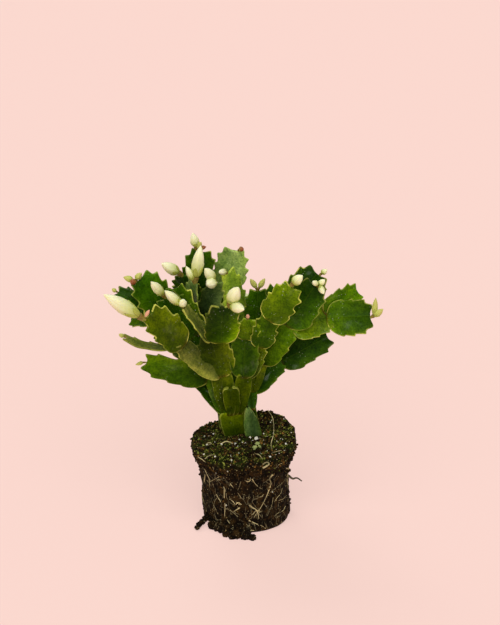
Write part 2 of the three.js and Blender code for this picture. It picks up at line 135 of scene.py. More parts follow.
BACK_RIGHT_LIMBS = (
    ("rear_trunk", "soil", (-2, 34, 96), 15, -10, 0, 0, "deep", 0.2, "trunk"),
    ("rear_neck", "rear_trunk", (-6, 40, 121), 22, 0, 0, 0, "deep", 0.2, "old"),
    ("rear_riser", "rear_neck", (-12, 46, 152), 23, -20, -2, 0, "deep", 0.4, "young"),
    ("pale_crown", "rear_riser", (-17, 48, 186), 18, -25, 0, 1, "mid", 0.5, "young"),
    ("pale_top", "pale_crown", (-10, 42, 216), 28, 0, 1, 1, "blue", 0.1, "young"),
    ("green_top", "rear_riser", (-15, 30, 201), 22, 32, 5, 1, "fresh", 0.3, "young"),
    ("east_neck", "rear_neck", (10, 40, 150), 20, 50, 3, 0, "deep", 0.3, "young"),
    ("east_blade", "east_neck", (9, 29, 186), 22, 5, -2, 1, "deep", 0.3, "young"),
    ("east_behind", "east_neck", (24, 50, 180), 20, 10, 1, 1, "deep", 0.6, "young"),
    ("east_out", "east_neck", (38, 26, 176), 22, -10, 5, 1, "deep", 0.3, "young"),
    ("east_crown", "east_out", (57, 28, 201), 31, -5, 0, 2, "deep", 1, "mild"),
    ("rear_right", "rear_trunk", (26, 60, 114), 24, 235, -3, 2, "mid", 0.5, "young"),
    ("rear_right_tip", "rear_right", (56, 68, 134), 25, 205, 0, 3, "mid", 0.7, "young"),
    ("rear_right_up", "rear_right", (25, 67, 137), 24, 250, 3, 2, "deep", 0.6, "young"),
    ("rear_high", "rear_right_up", (7, 62, 158), 23, 215, 0, -2, "mid", 0.6, "young"),
)

# Painted light and shade: which way a segment is painted lighter where light falls on it and darker where it
# is in shade, across to its own right, up, and all over
PAINTED_LIGHT_AND_SHADE = {
    "front_left": (0.3, 0.2, 0.1), "front_top": (1.0, -0.7, -0.25), "heart": (0.6, -0.1, -0.3),
    "bright": (-0.3, 0.2, -0.15), "right_dark": (0.4, -0.5, 0.1), "far_right": (0.1, -0.5, 0.15),
    "far_upper": (0.1, 0.3, 0.5), "right_broad": (0.2, 0.5, 0.3), "right_light": (0, -0.2, 0),
    "right_under": (0.3, 0.4, -0.2), "east_crown": (-0.3, 0.3, -0.4), "east_blade": (-0.3, 0.2, 0.2),
    "grey_arm": (-0.5, -0.2, -0.1), "low_arm": (0.2, 0.4, 0.2), "left_broad": (-0.3, -0.3, 0.5),
    "left_crown": (0.2, 0.2, 0.35), "pale_top": (0.1, 0, 0.55), "green_top": (-0.2, 0.1, 0.5),
    "mid_riser": (0.1, 0.2, -0.25), "knee": (0, 0.3, -0.15), "trunk": (0.4, 0.9, 0),
    "stub": (-0.4, 0.1, -0.2), "front_neck": (0, 0.3, -0.3), "right_neck": (-0.2, 0.2, -0.1),
    "outer_neck": (0, 0.3, 0.25), "spur": (-0.4, 0.6, -0.7), "crown_side": (-0.4, 0.3, -0.3),
    "crown_inner": (0.9, 0.3, -0.8),
}
# How far the base of a segment laps over the front of its carrier
LAPS = {"front_top": 2.4, "bright": 2.4, "mid_riser": 2.0, "heart": 2.0, "grey_arm": 2.4, "front_left": 1.8,
        "oblique": 1.5, "right_dark": 1.2, "far_right": 1.2, "stub": 1.0}

# A leafy stem: the CAD node, where its foot stands in the soil, half the foot's size, its segments
STEMS = (
    ("stem_main", (-10, 11, 70), (7.2, 3.1), FRONT_HEART + FRONT_LEFT + FRONT_RIGHT),
    ("stem_right", (5, 7, 70.5), (4.4, 2.6), RIGHT_LIMBS),
    ("stem_back_left", (-17, 24, 70.5), (6, 3), BACK_LEFT_LIMBS),
    ("stem_back_right", (4, 25, 70.5), (6, 3), BACK_RIGHT_LIMBS),
)

# A cluster of buds: the CAD node, the segment that carries it, where it sits along that tip, and for
# each bud the place of its point, its width and its colour
BUDS = (
    ("bud_front_left", "front_left", -6, ((-110, -42, 211, 11.4, "cream"), (-75, -34, 195, 3, "blush"))),
    ("bud_blade_edge", "blade_edge", 0, ((-101, -11, 165, 3.4, "lime"),)),
    ("bud_low_arm", "low_arm", 0, ((-89, -1, 134, 3, "lime"),)),
    ("bud_left_broad", "left_broad", 0, ((-75, -7, 208, 7.4, "cream"),)),
    ("bud_oblique", "oblique", 0, ((-64, -16, 204, 7.4, "cream"), (-50, -17, 196, 6.4, "cream"))),
    ("bud_front_top", "front_top", 5, ((-6, -37, 215, 10.4, "cream"), (-1.5, -44, 199, 8, "cream"))),
    ("bud_mid_top", "mid_top", -2, ((1, -7, 180, 3, "blush"),)),
    ("bud_bright", "bright", -2, ((44, -17, 217, 7.6, "cream"),)),
    ("bud_right_dark", "right_dark", 2,
     ((52, -8, 208, 4.4, "cream"), (62, -3, 208, 4.8, "cream"), (61, -9, 198, 4.8, "cream"))),
    ("bud_far_right", "far_right", 2, ((103, 7, 189, 4.6, "lime"), (109, 5, 180, 5, "lime"))),
    ("bud_left_crown", "left_crown", -4,
     ((-99, 29, 198, 5, "lime"), (-84, 28, 202, 5, "lime"), (-92, 23, 195, 5, "rust"))),
    ("bud_left_dark", "left_dark", 0, ((-109, 36, 185, 3.4, "lime"),)),
    ("bud_crown_top", "crown_top", -4,
     ((-43, 34, 234, 7, "cream"), (-36, 32, 227, 3.6, "lime"), (-32, 34, 222, 3.6, "rust"))),
    ("bud_crown_west", "crown_west", 0, ((-68, 23, 212, 9, "cream"),)),
    ("bud_crown_side", "crown_side", 2, ((-36, 16, 230, 9.5, "cream"), (-48, 14, 213, 5.6, "cream"))),
    ("bud_crown_inner", "crown_inner", 0, ((-33, 12, 212, 8, "cream"), (-31, 6, 200, 8.6, "cream"))),
    ("bud_green_top", "green_top", 0, ((-22, 18, 206, 5, "cream"),)),
    ("bud_pale_top", "pale_top", 3, ((-2, 39, 218, 4, "rust"),)),
    ("bud_east_blade", "east_blade", 0, ((3, 25, 198, 4.4, "lime"), (15, 26, 198, 4.4, "lime"))),
    ("bud_east_crown", "east_crown", 2, ((65, 28, 205, 4.6, "cream"),)),
    ("bud_rear_left", "rear_left_tip", 0, ((-90, 76, 146, 7, "cream"),)),
    ("bud_rear_up", "rear_left_up", 0, ((-50, 78, 172, 8, "cream"), (-44, 76, 164, 4.4, "lime"))),
    ("bud_rear_right", "rear_right_tip", 0, ((72, 70, 142, 6, "cream"),)),
    ("bud_rear_high", "rear_high", 0, ((-3, 68, 169, 8, "cream"), (6, 69, 168, 4.6, "lime"))),
)

# One side of a segment's outline, from base to tip: share of the length, share of the half width, and
# how far the outline is cut in there, as a share of the depth of a tooth
TOOTHED = (
    (0.0, 0.2, 0), (0.02, 0.42, 0), (0.055, 0.62, 0), (0.11, 0.79, 0), (0.19, 0.92, 0), (0.28, 0.99, 0),
    (0.365, 1.03, 0), (0.375, 1.0, 0.5), (0.4, 1.0, 0.55), (0.47, 1.02, 0.25), (0.53, 1.04, 0.1),
    (0.59, 1.09, 0), (0.583, 1.04, 0.6), (0.6, 1.0, 1), (0.65, 0.98, 0.85), (0.72, 0.96, 0.5),
    (0.785, 0.96, 0.2), (0.845, 0.98, 0), (0.835, 0.9, 0.55), (0.85, 0.82, 0.85), (0.89, 0.77, 0.7),
    (0.94, 0.7, 0.45), (1.005, 0.62, 0), (0.99, 0.5, 0.1), (0.952, 0.34, 0.3), (0.94, 0.16, 0),
)
WOODY = (
    (0.0, 0.45, 0), (0.05, 0.56, 0), (0.14, 0.7, 0), (0.28, 0.85, 0), (0.43, 0.95, 0), (0.6, 1.0, 0),
    (0.78, 1.0, 0), (0.9, 0.97, 0), (0.965, 0.9, 0), (1.0, 0.76, 0), (0.995, 0.5, 0), (0.98, 0.2, 0),
)
TRUNK = (
    (0.0, 0.7, 0), (0.06, 0.74, 0), (0.16, 0.8, 0), (0.3, 0.87, 0), (0.45, 0.93, 0), (0.6, 0.97, 0),
    (0.75, 1.0, 0), (0.88, 1.0, 0), (0.96, 0.94, 0), (1.0, 0.8, 0), (0.995, 0.5, 0), (0.98, 0.2, 0),
)
SPUR = (
    (0.0, 0.9, 0), (0.06, 0.98, 0), (0.14, 1.04, 0), (0.24, 1.06, 0), (0.36, 1.02, 0), (0.48, 0.94, 0),
    (0.6, 0.83, 0), (0.72, 0.7, 0), (0.82, 0.56, 0), (0.9, 0.42, 0), (0.96, 0.28, 0), (0.99, 0.12, 0),
)

# A kind of segment: its outline, how far up the outline its apex is, how sharp its teeth are, and
# whether it is old and thick
Kind = namedtuple("Kind", "outline apex sharp woody")
KINDS = {
    "young": Kind(TOOTHED, 0.94, 1.0, False),
    "mild": Kind(TOOTHED, 0.94, 0.5, False),
    "old": Kind(WOODY, 0.97, 1.0, True),
    "trunk": Kind(TRUNK, 0.97, 1.0, True),
    "spur": Kind(SPUR, 0.97, 1.0, True),
}
# Where the columns of a segment's mesh lie, from its middle to its edge
COLUMNS = (0, 0.07, 0.22, 0.42, 0.62, 0.8, 0.93, 1)

# Radius at a share of the length, for a bud and for the cup that it grows from
BUD_PROFILE = (
    (0, 0), (0.02, 0.36), (0.08, 0.6), (0.2, 0.88), (0.34, 1.0), (0.48, 0.98), (0.62, 0.86),
    (0.75, 0.66), (0.86, 0.42), (0.94, 0.2), (1, 0),
)
CUP_PROFILE = ((0, 0), (0.04, 0.26), (0.25, 0.36), (0.5, 0.42), (0.8, 0.52), (0.95, 0.46), (1, 0))

# The plug of soil: radius and height from the middle of the top, over rim and lip, to the underside
PLUG = (
    (0, 68.2), (10, 68), (19, 67), (27, 66), (34, 65.5), (39.5, 66), (42.5, 63), (41.8, 58),
    (39.5, 53.5), (37.4, 47.5), (36.2, 40), (35.4, 31), (35.2, 22), (35.6, 13), (36, 5),
    (35.4, 1.4), (34.2, 0), (0, 0),
)
# The row of the plug at which its top ends, and the radius past which its level is followed no further
RIM_ROW = 6
TOP_REACH = 42.4
# At this height the plug leans over to the left by this much
PLUG_HEIGHT = 65
PLUG_LEAN = -2.4
# Heights at which the flared lip and the top begin
LIP_FROM = 52
TOP_FROM = 62
# How far the soil stands in and out on its side, on its lip and on its top
SIDE_RELIEF = 0.3
LIP_RELIEF = 0.6
TOP_RELIEF = 0.55
# How far the top rises at the back on the right, and round its rim
BACK_RISE = 8
RIM_RISE = 3.4
# How far loose bits stay from the feet of the stems
STEM_ROOM = 2.0

# Roots on the plug's side that stand out: places as (degrees round the plug, height), and thickness
MARKED_ROOTS = (
    (((-147, 52), (-143, 46), (-140, 42), (-143, 37)), 1.1),
    (((-118, 52), (-129, 46), (-142, 40)), 0.9),
    (((-125, 59), (-124, 55), (-122, 51)), 0.9),
    (((-108, 45), (-100, 38), (-97, 35), (-95, 32)), 0.9),
    (((-94, 48), (-97, 42), (-100, 38)), 0.8),
    (((-117, 38), (-118, 31), (-118, 23), (-119, 13)), 1.2),
    (((-132, 31), (-128, 28), (-124, 25)), 0.8),
    (((-110, 30), (-106, 28), (-103, 26), (-99, 28), (-95, 26)), 0.8),
    (((-111, 20), (-106, 18), (-100, 15)), 0.8),
    (((-115, 11), (-110, 7), (-104, 4), (-92, 3), (-80, 2.6)), 1.1),
    (((-80, 50), (-75, 44), (-69, 40), (-57, 36)), 1.0),
    (((-52, 52), (-57, 48), (-55, 43), (-57, 38)), 1.6),
    (((-55, 40), (-58, 34), (-62, 29), (-71, 21), (-79, 15)), 1.1),
    (((-85, 26), (-80, 23), (-75, 20), (-73, 13)), 1.7),
    (((-81, 17), (-76, 20), (-70, 19)), 1.1),
    (((-50, 28), (-53, 21), (-57, 18), (-61, 14)), 0.8),
    (((-33, 33), (-37, 29), (-42, 27), (-48, 24)), 0.8),
    (((-18, 22), (-28, 22), (-39, 23)), 0.7),
    (((-24, 14), (-33, 12), (-43, 12), (-58, 8)), 0.8),
    (((-86, 12), (-78, 9), (-71, 7), (-64, 3)), 1.0),
    (((-52, 58), (-46, 60), (-41, 60), (-36, 62)), 1.0),
    (((-20, 50), (-19, 43), (-22, 36)), 0.7),
    (((-12, 46), (-13, 36), (-12, 26)), 0.7),
    (((-73, 33), (-69, 32), (-65, 34)), 1.3),
    (((-88, 49), (-85, 48), (-82, 50)), 1.0),
)

# The perlite grains on the top of the soil that stand out: place and size
MARKED_GRAINS = (
    (8, 0, 3.4), (3, 1, 2.0), (-9, -9, 1.9), (-1, -10, 1.7), (-32, -8, 1.5), (-27, 12, 1.6), (-38, 0, 1.5),
    (-20, -10, 1.7), (-26, -4, 1.4), (7, 14, 1.7), (32, -10, 1.7), (19, -30, 1.8), (26, -25, 1.5),
    (-12, -34, 1.5), (28, -2, 1.4), (-25, -31, 1.5), (-34, -25, 1.6), (5, -4, 1.3), (14, 8, 1.4),
)
# Soft green lumps on the top of the soil: place from the middle of the top, and size
MOSSY_LUMPS = ((11, -10, 4.2), (9, -17, 4.6), (13, -14, 3))
# Thin roots that lie on the top of the soil, how high they arch, and their thickness
TOP_STRANDS = (
    (((18, 34), (21, 26), (22, 18), (22, 0), (20, -10), (21, -21)), 3, 0.8),
    (((-21, -9), (-16, -9.5), (-11, -9)), 1.2, 0.9),
    (((-34, -29), (-29, -28), (-25, -26)), 1, 0.7),
    (((-39, -26), (-36, -30), (-33, -33)), 1, 0.8),
    (((13, -44), (16, -43), (18, -40), (16, -37.5), (13, -39)), 1.5, 1.4),
    (((-33, -8), (-31, -5.5), (-28.5, -7), (-29.5, -9.5), (-32, -10)), 1, 0.8),
    (((20, -24), (24, -23), (30, -20)), 1, 0.6),
    (((4, -27), (9, -29), (13, -34)), 1.4, 0.6),
)
# The dark root that stands out of the side on the right
STRAY_ROOT = ((29, -3, 36.5), (34, -3.4, 36.4), (38, -4.6, 34), (41, -4, 34.4), (45.4, -5, 32))

# Lumps of soil at the foot of the plug: place and radius
FOOT_CRUMBS = (
    (-31, -17, 6.6, 3), (-33.5, -20, 5.4, 2.7), (-36, -23, 4, 2.5), (-38.5, -26, 2.8, 2.4),
    (-40, -29, 1.9, 2.2), (-20, -32, 3.5, 4.6), (-13, -35.5, 3.5, 5.4), (-5, -36.5, 3, 5.4),
    (-16, -39.5, 2, 3.6), (-8, -42, 2.5, 4.3), (-1, -43.5, 2, 3.8), (5, -45.8, 1.6, 3), (-12, -44, 1.5, 2.6),
    (0, -38.5, 2, 4), (-27.5, -26, 2.6, 4.2), (-23, -29.5, 2.6, 4),
)


# Settings -------------------------------------------------------------------------------------------


def length(name, description, default):
    return FloatProperty(name=name, description=description, default=default, unit="LENGTH", precision=5)


def amount(name, description, default):
    return FloatProperty(name=name, description=description, default=default, subtype="FACTOR")


def colour(name, description, *channels):
    return FloatVectorProperty(
        name=name, description=description, default=tint(*channels), subtype="COLOR", min=0, max=1
    )


class CactusStemSettings(bpy.types.PropertyGroup):
    """Sizes and greens of the leafy stems."""

    midrib: length("Midrib thickness", "Thickness of a segment along its middle", 0.0026)
    margin: length("Margin thickness", "Thickness of a segment at its edge", 0.0012)
    cup: length("Cup", "How far the edges of a segment stand forward of its middle", 0.0016)
    ripple: length("Ripple", "How far a segment's edge waves in and out", 0.0011)
    wood: amount("Wood", "How much thicker an old segment is than a young one", 0.8)
    tooth: amount("Tooth depth", "Depth of the notches as a share of half the width", 0.17)
    # The greens are partly the segments' own tones and partly painted light and shade: deep green for
    # segments in shade, light green for those that catch the light
    deep: colour("Deep green", "Skin of the shaded old segments", 42, 76, 2)
    mid: colour("Middle green", "Skin of most segments", 60, 92, 0)
    olive: colour("Olive green", "Skin of the front segments", 76, 92, 0)
    light: colour("Light green", "Skin of the young segments", 98, 126, 4)
    fresh: colour("Fresh green", "Skin of the thin segments at the top", 118, 148, 44)
    # Painted reflection: the grey green stands in for the floor's sheen on a segment, the blue green for the
    # sky's sheen
    grey: colour("Grey green", "Skin of the segments with a painted grey sheen", 114, 120, 50)
    blue: colour("Blue green", "Skin of the segments with a painted bluish sheen", 120, 146, 78)
    edge: colour("Margin", "The thin rim of a segment and its teeth", 214, 216, 96)
    joint: colour("Joint", "Corky skin where one segment grows from another", 128, 84, 34)


class CactusBudSettings(bpy.types.PropertyGroup):
    """Shape and colours of the buds."""

    overlap: amount("Petal step", "How far the edge of a petal stands up, as a share of the radius", 0.08)
    bract: amount("Bract length", "Length of the outer scales as a share of the bud", 0.34)
    cream: colour("Cream", "A full bud", 250, 250, 208)
    lime: colour("Lime", "A young bud", 200, 200, 110)
    blush: colour("Blush", "A tiny pink bud", 236, 176, 150)
    rust: colour("Rust", "A tiny red-brown bud", 150, 84, 44)
    base: colour("Base green", "The lower end of a bud", 190, 204, 92)
    cup: colour("Cup", "The cup that a bud grows from", 128, 108, 40)


class CactusSoilSettings(bpy.types.PropertyGroup):
    """Relief, numbers and colours of the root ball."""

    clods: length("Clods", "Height of the coarse lumps of the soil", 0.0016)
    grit: length("Grit", "Height of the fine lumps of the soil", 0.0016)
    crumbs: IntProperty(name="Crumbs", description="Number of loose crumbs", default=1900, min=0)
    tufts: IntProperty(name="Moss tufts", description="Number of tufts of moss", default=800, min=0)
    grains: IntProperty(name="Perlite grains", description="Number of scattered grains", default=70, min=0)
    roots: IntProperty(name="Fine roots", description="Number of fine roots on the side", default=80, min=0)
    peat: colour("Peat", "Dark soil", 15, 9, 3)
    bark: colour("Bark", "Lighter soil and bits of bark", 54, 38, 13)
    root: colour("Root", "Roots on the side", 212, 200, 150)
    moss: colour("Moss", "Dark moss", 38, 54, 3)
    sprout: colour("Sprout", "Bright tips of the moss", 200, 206, 90)
    perlite: colour("Perlite", "White grains in the soil", 238, 236, 222)


class CactusStageSettings(bpy.types.PropertyGroup):
    """Floor, light and camera."""

    floor: colour("Floor", "The plain pale floor", 251, 217, 208)
    lift: amount("Lift", "Share of the floor's brightness that shadows leave alone", 0.65)
    sun: FloatProperty(name="Sun", description="Strength of the soft lamp", default=2.3)
    window: FloatProperty(name="Window", description="Strength of the lamp behind, for gloss", default=0.7)
    softness: FloatProperty(name="Softness", description="How wide the lamp's disc is",
                            default=math.radians(70), subtype="ANGLE")
    sky: FloatProperty(name="Sky", description="Strength of the light from all round", default=0.25)
    distance: length("Camera distance", "From the camera to the middle of its view", 1.6)
    pitch: FloatProperty(name="Pitch", description="How far the camera looks down",
                         default=math.radians(22), subtype="ANGLE")
    lens: FloatProperty(name="Lens", description="Focal length in millimetres", default=116.07)


# Tools for meshes -----------------------------------------------------------------------------------


def chance(seed):
    """A repeatable number from 0 to 1 for a whole-number seed."""
    wave = math.sin(seed * 12.9898 + 4.1414) * 43758.5453
    return wave - math.floor(wave)


def along_profile(profile, share):
    """The value of a table of (share, value) rows at a share."""
    for (start, low), (end, high) in zip(profile, profile[1:]):
        if share <= end:
            return low + (high - low) * (share - start) / (end - start)
    return profile[-1][1]


def select(*pieces):
    """These pieces alone are selected, and the first is active."""
    bpy.ops.object.select_all(action="DESELECT")
    for piece in pieces:
        piece.select_set(True)
    bpy.context.view_layer.objects.active = pieces[0]


def add_form(primitive, **sizes):
    """A new primitive, alone in the selection."""
    bpy.ops.object.select_all(action="DESELECT")
    primitive(**sizes)
    return bpy.context.object


def apply_modifiers(piece):
    select(piece)
    for modifier in list(piece.modifiers):
        bpy.ops.object.modifier_apply(modifier=modifier.name)


def copy_shaped(template, place):
    """A copy of a template with its own mesh, each vertex put where place() says."""
    piece = template.copy()
    piece.data = template.data.copy()
    bpy.context.collection.objects.link(piece)
    for vertex in piece.data.vertices:
        vertex.co = place(vertex.co)
    return piece


def paint_tone(piece, shades, strength=1.0):
    """Stores a colour and a strength for each vertex, or one pair for all, for the material."""
    mesh = piece.data
    old = mesh.color_attributes.get("tone")
    layer = old or mesh.color_attributes.new("tone", "FLOAT_COLOR", "POINT")
    if isinstance(shades[0], (int, float)):
        shades, strength = [shades] * len(mesh.vertices), [strength] * len(mesh.vertices)
    values = [channel for shade, own in zip(shades, strength) for channel in (*shade, own)]
    layer.data.foreach_set("color", values)


def join(pieces):
    """One piece from several, kept as the first of them."""
    select(*pieces)
    if len(pieces) > 1:
        bpy.ops.object.join()
    return bpy.context.view_layer.objects.active


def finish_piece(piece, name, slot, material, *nodes):
    """Names a piece, gives it its one material, and seats it in the frame."""
    piece.name = name
    piece.data.name = name
    piece.data.materials.clear()
    piece.data.materials.append(material)
    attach(piece, "root")
    if nodes:
        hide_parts(*nodes)


def remove(*pieces):
    for piece in pieces:
        bpy.data.objects.remove(piece)


# Materials ------------------------------------------------------------------------------------------


class Wire:
    """A socket in a material, so that shader maths reads as a plain sum."""

    def __init__(self, paint, socket):
        self.paint, self.socket = paint, socket

    def maths(self, operation, first, second):
        return self.paint.node("ShaderNodeMath", {"operation": operation}, {0: first, 1: second})["Value"]

    def __add__(self, other):
        return self.maths("ADD", self, other)

    def __sub__(self, other):
        return self.maths("SUBTRACT", self, other)

    def __rsub__(self, other):
        return self.maths("SUBTRACT", other, self)

    def __mul__(self, other):
        return self.maths("MULTIPLY", self, other)

    def __abs__(self):
        return self.maths("ABSOLUTE", self, 0)

    __radd__ = __add__
    __rmul__ = __mul__


class Paint:
    """One material. Constants go on the shader's own sockets, and node() makes every other node."""

    def __init__(self, name, constants):
        self.material = bpy.data.materials.new(name)
        self.material.use_nodes = True
        self.tree = self.material.node_tree
        self.shader = self.tree.nodes["Principled BSDF"]
        for socket, value in constants.items():
            self.shader.inputs[socket].default_value = value

    def node(self, kind, settings=None, inputs=None):
        made = self.tree.nodes.new(kind)
        for key, value in (settings or {}).items():
            setattr(made, key, value)
        for key, value in (inputs or {}).items():
            self.feed(made.inputs[key], value)
        return {output.name: Wire(self, output) for output in reversed(made.outputs) if output.enabled}

    def feed(self, socket, value):
        """Links a wire, or sets a value. A colour gets the alpha that its socket wants."""
        if isinstance(value, Wire):
            self.tree.links.new(value.socket, socket)
        elif hasattr(value, "__len__") and len(value) < len(socket.default_value):
            socket.default_value = (*value, 1)
        else:
            socket.default_value = value

    def place(self):
        """Where a point lies on the piece, in metres."""
        return self.node("ShaderNodeTexCoord")["Object"]

    def surface(self):
        """The piece's own map: across and along."""
        uv = self.node("ShaderNodeUVMap", {"uv_map": "UVMap"})["UV"]
        parts = self.node("ShaderNodeSeparateXYZ", None, {0: uv})
        return parts["X"], parts["Y"]

    def tone(self):
        """The colour and the strength that paint_tone() stored."""
        parts = self.node("ShaderNodeAttribute", {"attribute_name": "tone"})
        return parts["Color"], parts["Alpha"]

    def noise(self, vector, scale, detail):
        inputs = {"Vector": vector, "Scale": scale, "Detail": detail}
        return self.node("ShaderNodeTexNoise", None, inputs)["Fac"]

    def streaks(self, across, along, detail):
        """Noise on the piece's own map, as fine across it as along it says."""
        spread = self.node("ShaderNodeCombineXYZ", None, {0: across, 1: along})["Vector"]
        return self.noise(spread, 1, detail)

    def cells(self, vector, scale, feature="F1"):
        inputs = {"Vector": vector, "Scale": scale}
        return self.node("ShaderNodeTexVoronoi", {"feature": feature}, inputs)["Distance"]

    def specks(self, place, scale, fade, patches, detail, share):
        """Round spots that fade out between two radii, in the patches where a noise lets them show."""
        spots = self.step(self.cells(place, scale), *fade)
        return spots * self.step(self.noise(place, patches, detail), *share)

    def step(self, value, low, high):
        """0 below low, 1 above high, and a smooth slope between them."""
        inputs = {"Value": value, "From Min": low, "From Max": high}
        return self.node("ShaderNodeMapRange", {"interpolation_type": "SMOOTHSTEP"}, inputs)["Result"]

    def mix(self, factor, first, second, blend="MIX"):
        settings = {"data_type": "RGBA", "blend_type": blend}
        return self.node("ShaderNodeMix", settings, {0: factor, 6: first, 7: second})["Result"]

    def stretch(self, vector, *scale):
        return self.node("ShaderNodeVectorMath", {"operation": "MULTIPLY"}, {0: vector, 1: scale})["Vector"]

    def finish(self, shade, roughness, height=None, distance=0.0005, strength=0.5):
        self.feed(self.shader.inputs["Base Color"], shade)
        self.feed(self.shader.inputs["Roughness"], roughness)
        if height is not None:
            inputs = {"Strength": strength, "Distance": distance, "Height": height}
            self.feed(self.shader.inputs["Normal"], self.node("ShaderNodeBump", None, inputs)["Normal"])
        return self.material


def segment_skin(settings):
    """Waxy skin: mottled green with painted shade in broad patches and down its middle, paler veins, a
    broken yellow rim, corky joints, specks, and pale flecks painted as highlights.
    """
    paint = Paint("segment_skin", {"Specular IOR Level": 0.045, "Coat Roughness": 0.16})
    place = paint.place()
    across, along = paint.surface()
    shade, rim = paint.tone()
    out = abs(across * 2 - 1)
    fine = paint.noise(place, 700, 3)
    mottle = paint.noise(place, 240, 4)
    streak = paint.streaks(across * 9, along * 2, 3)
    # Painted shade: dark broad patches for the dimples of the skin and a darker middle for the hollow of the
    # segment; the finer mottle, streaks and grain vary the green
    for mask, tone in (
        (paint.step(paint.noise(place, 70, 2), 0.36, 0.64) * 0.8, (0.5, 0.62, 0.4)),
        (paint.step(out, 0.75, 0.1) * 0.5, (0.62, 0.7, 0.7)),
        (paint.step(mottle, 0.54, 0.36) * 0.4, (0.42, 0.52, 0.4)),
        (paint.step(mottle, 0.5, 0.72) * 0.35, (1.8, 1.6, 1.6)),
        (paint.step(streak, 0.5, 0.75) * 0.4, (1.5, 1.4, 1.2)),
        (paint.step(fine, 0.4, 0.65) * 0.5, (1.6, 1.5, 1.3)),
        (paint.step(fine, 0.5, 0.3) * 0.6, (0.5, 0.55, 0.5)),
    ):
        shade = paint.mix(mask, shade, tone, "MULTIPLY")

    # Veins that slant up from the rib to the teeth
    slant = along * 5.2 - out * 1.5
    vein = paint.step(slant.maths("PINGPONG", slant, 0.5), 0.42, 0.5)
    rib = 1 - paint.step(out, 0.02, 0.12)
    shade = paint.mix(vein * (1 - out) * 0.12 + rib * 0.1, shade, settings.light)

    # A yellow rim that breaks off here and there, and is widest round the base; its strength from the tone
    # is painted stronger on each segment's lit side
    broken = paint.step(paint.noise(place, 130, 2), 0.4, 0.6)
    base_arc = 1 - paint.step(along, 0.03, 0.16)
    low = 1 - paint.step(along, 0.1, 0.3)
    yellow = paint.step(out + paint.noise(place, 300, 2) * 0.08 - 0.04 + base_arc * 0.22, 0.84, 0.94)
    yellow = yellow * (rim * (0.25 + broken * 0.75) + broken * 0.2 + rim * low * 0.6)
    shade = paint.mix(yellow, shade, settings.edge)

    # Cork at both ends
    cork = 1 - paint.step(along + paint.noise(place, 500, 2) * 0.04, 0.02, 0.055)
    cork = cork + paint.step(along - out * 0.2, 0.955, 0.99)
    shade = paint.mix(cork * (0.6 - rim * 0.5), shade, settings.joint)

    speck = paint.specks(place, 480, (0.2, 0.1), 90, 1, (0.56, 0.66))
    shade = paint.mix(speck * 0.4, shade, (0.7, 0.76, 0.5))
    # Painted highlights: pale flecks, most where the segment's rim is strong
    highlight_fleck = paint.specks(place, 360, (0.22, 0.1), 55, 1, (0.58, 0.66))
    shade = paint.mix(highlight_fleck * (0.04 + rim * 0.6), shade, (0.8, 0.85, 0.68))
    sheen = paint.step(paint.noise(place, 65, 2), 0.54, 0.7) * paint.step(streak + mottle * 0.4, 0.55, 0.8)
    paint.feed(paint.shader.inputs["Coat Weight"], sheen * 0.5)
    roughness = 0.34 + fine * 0.16 + speck * 0.2
    height = fine * 0.35 + vein * 0.5 + rib * 0.6 + speck * 0.3
    return paint.finish(shade, roughness, height, 0.0003, 0.5)


def bud_skin(settings):
    """Silky petals: cream above a greener base, with fine lines that run to the tip."""
    paint = Paint("bud_skin", {"Specular IOR Level": 0.3, "Subsurface Weight": 0.25,
                               "Subsurface Radius": (1.0, 0.9, 0.5), "Subsurface Scale": 0.0015})
    across, along = paint.surface()
    shade, green = paint.tone()
    lines = paint.streaks(across * 26, along * 1.4, 2)
    shade = paint.mix(paint.step(lines, 0.45, 0.7) * 0.6, shade, (0.82, 0.85, 0.5), "MULTIPLY")
    low = 1 - paint.step(along + lines * 0.3, 0.2, 1.0)
    shade = paint.mix(low * green, shade, settings.base)
    freckle = paint.step(paint.noise(paint.place(), 900, 2), 0.6, 0.75)
    shade = paint.mix(freckle * 0.25, shade, (0.8, 0.62, 0.4), "MULTIPLY")
    return paint.finish(shade, 0.42 + lines * 0.15, lines, 0.0003, 0.4)


def soil_skin(settings):
    """Peat with bark, rusty and pale bits, a felt of fine roots on the side and moss on the top."""
    paint = Paint("root_ball_soil", {"Specular IOR Level": 0.08})
    place = paint.place()
    height = paint.node("ShaderNodeSeparateXYZ", None, {0: place})["Z"]
    side, top = 1 - paint.step(height, 0.05, 0.062), paint.step(height, 0.058, 0.065)
    coarse = paint.noise(place, 190, 4)
    grain = paint.noise(place, 1100, 3)
    upright = paint.stretch(place, 1, 1, 0.35)
    mesh = paint.cells(upright, 170, "DISTANCE_TO_EDGE") + paint.noise(place, 300, 2) * 0.12
    net = (1 - paint.step(mesh, 0.05, 0.09)) * side * paint.step(paint.noise(place, 60, 2), 0.42, 0.6)
    mossy = paint.step(paint.noise(place, 120, 3), 0.4, 0.6) * top
    shade = paint.mix(paint.step(coarse + grain * 0.3, 0.6, 0.85), settings.peat, settings.bark)
    for mask, tone in (
        (paint.step(paint.noise(place, 330, 2), 0.66, 0.76) * 0.35, (0.12, 0.05, 0.015)),
        (net * 0.35, settings.root),
        (paint.specks(place, 520, (0.24, 0.12), 260, 2, (0.46, 0.56)) * 0.75, (0.5, 0.42, 0.2)),
        (paint.specks(place, 380, (0.2, 0.1), 140, 2, (0.52, 0.62)) * 0.5, (0.34, 0.22, 0.04)),
        (mossy * 0.5, settings.moss),
        (paint.step(paint.noise(place, 420, 2), 0.58, 0.7) * mossy * 0.7, settings.sprout),
    ):
        shade = paint.mix(mask, shade, tone)
    return paint.finish(shade, 0.8 + grain * 0.15, coarse + grain * 0.6 + net * 0.5, 0.0012, 0.9)


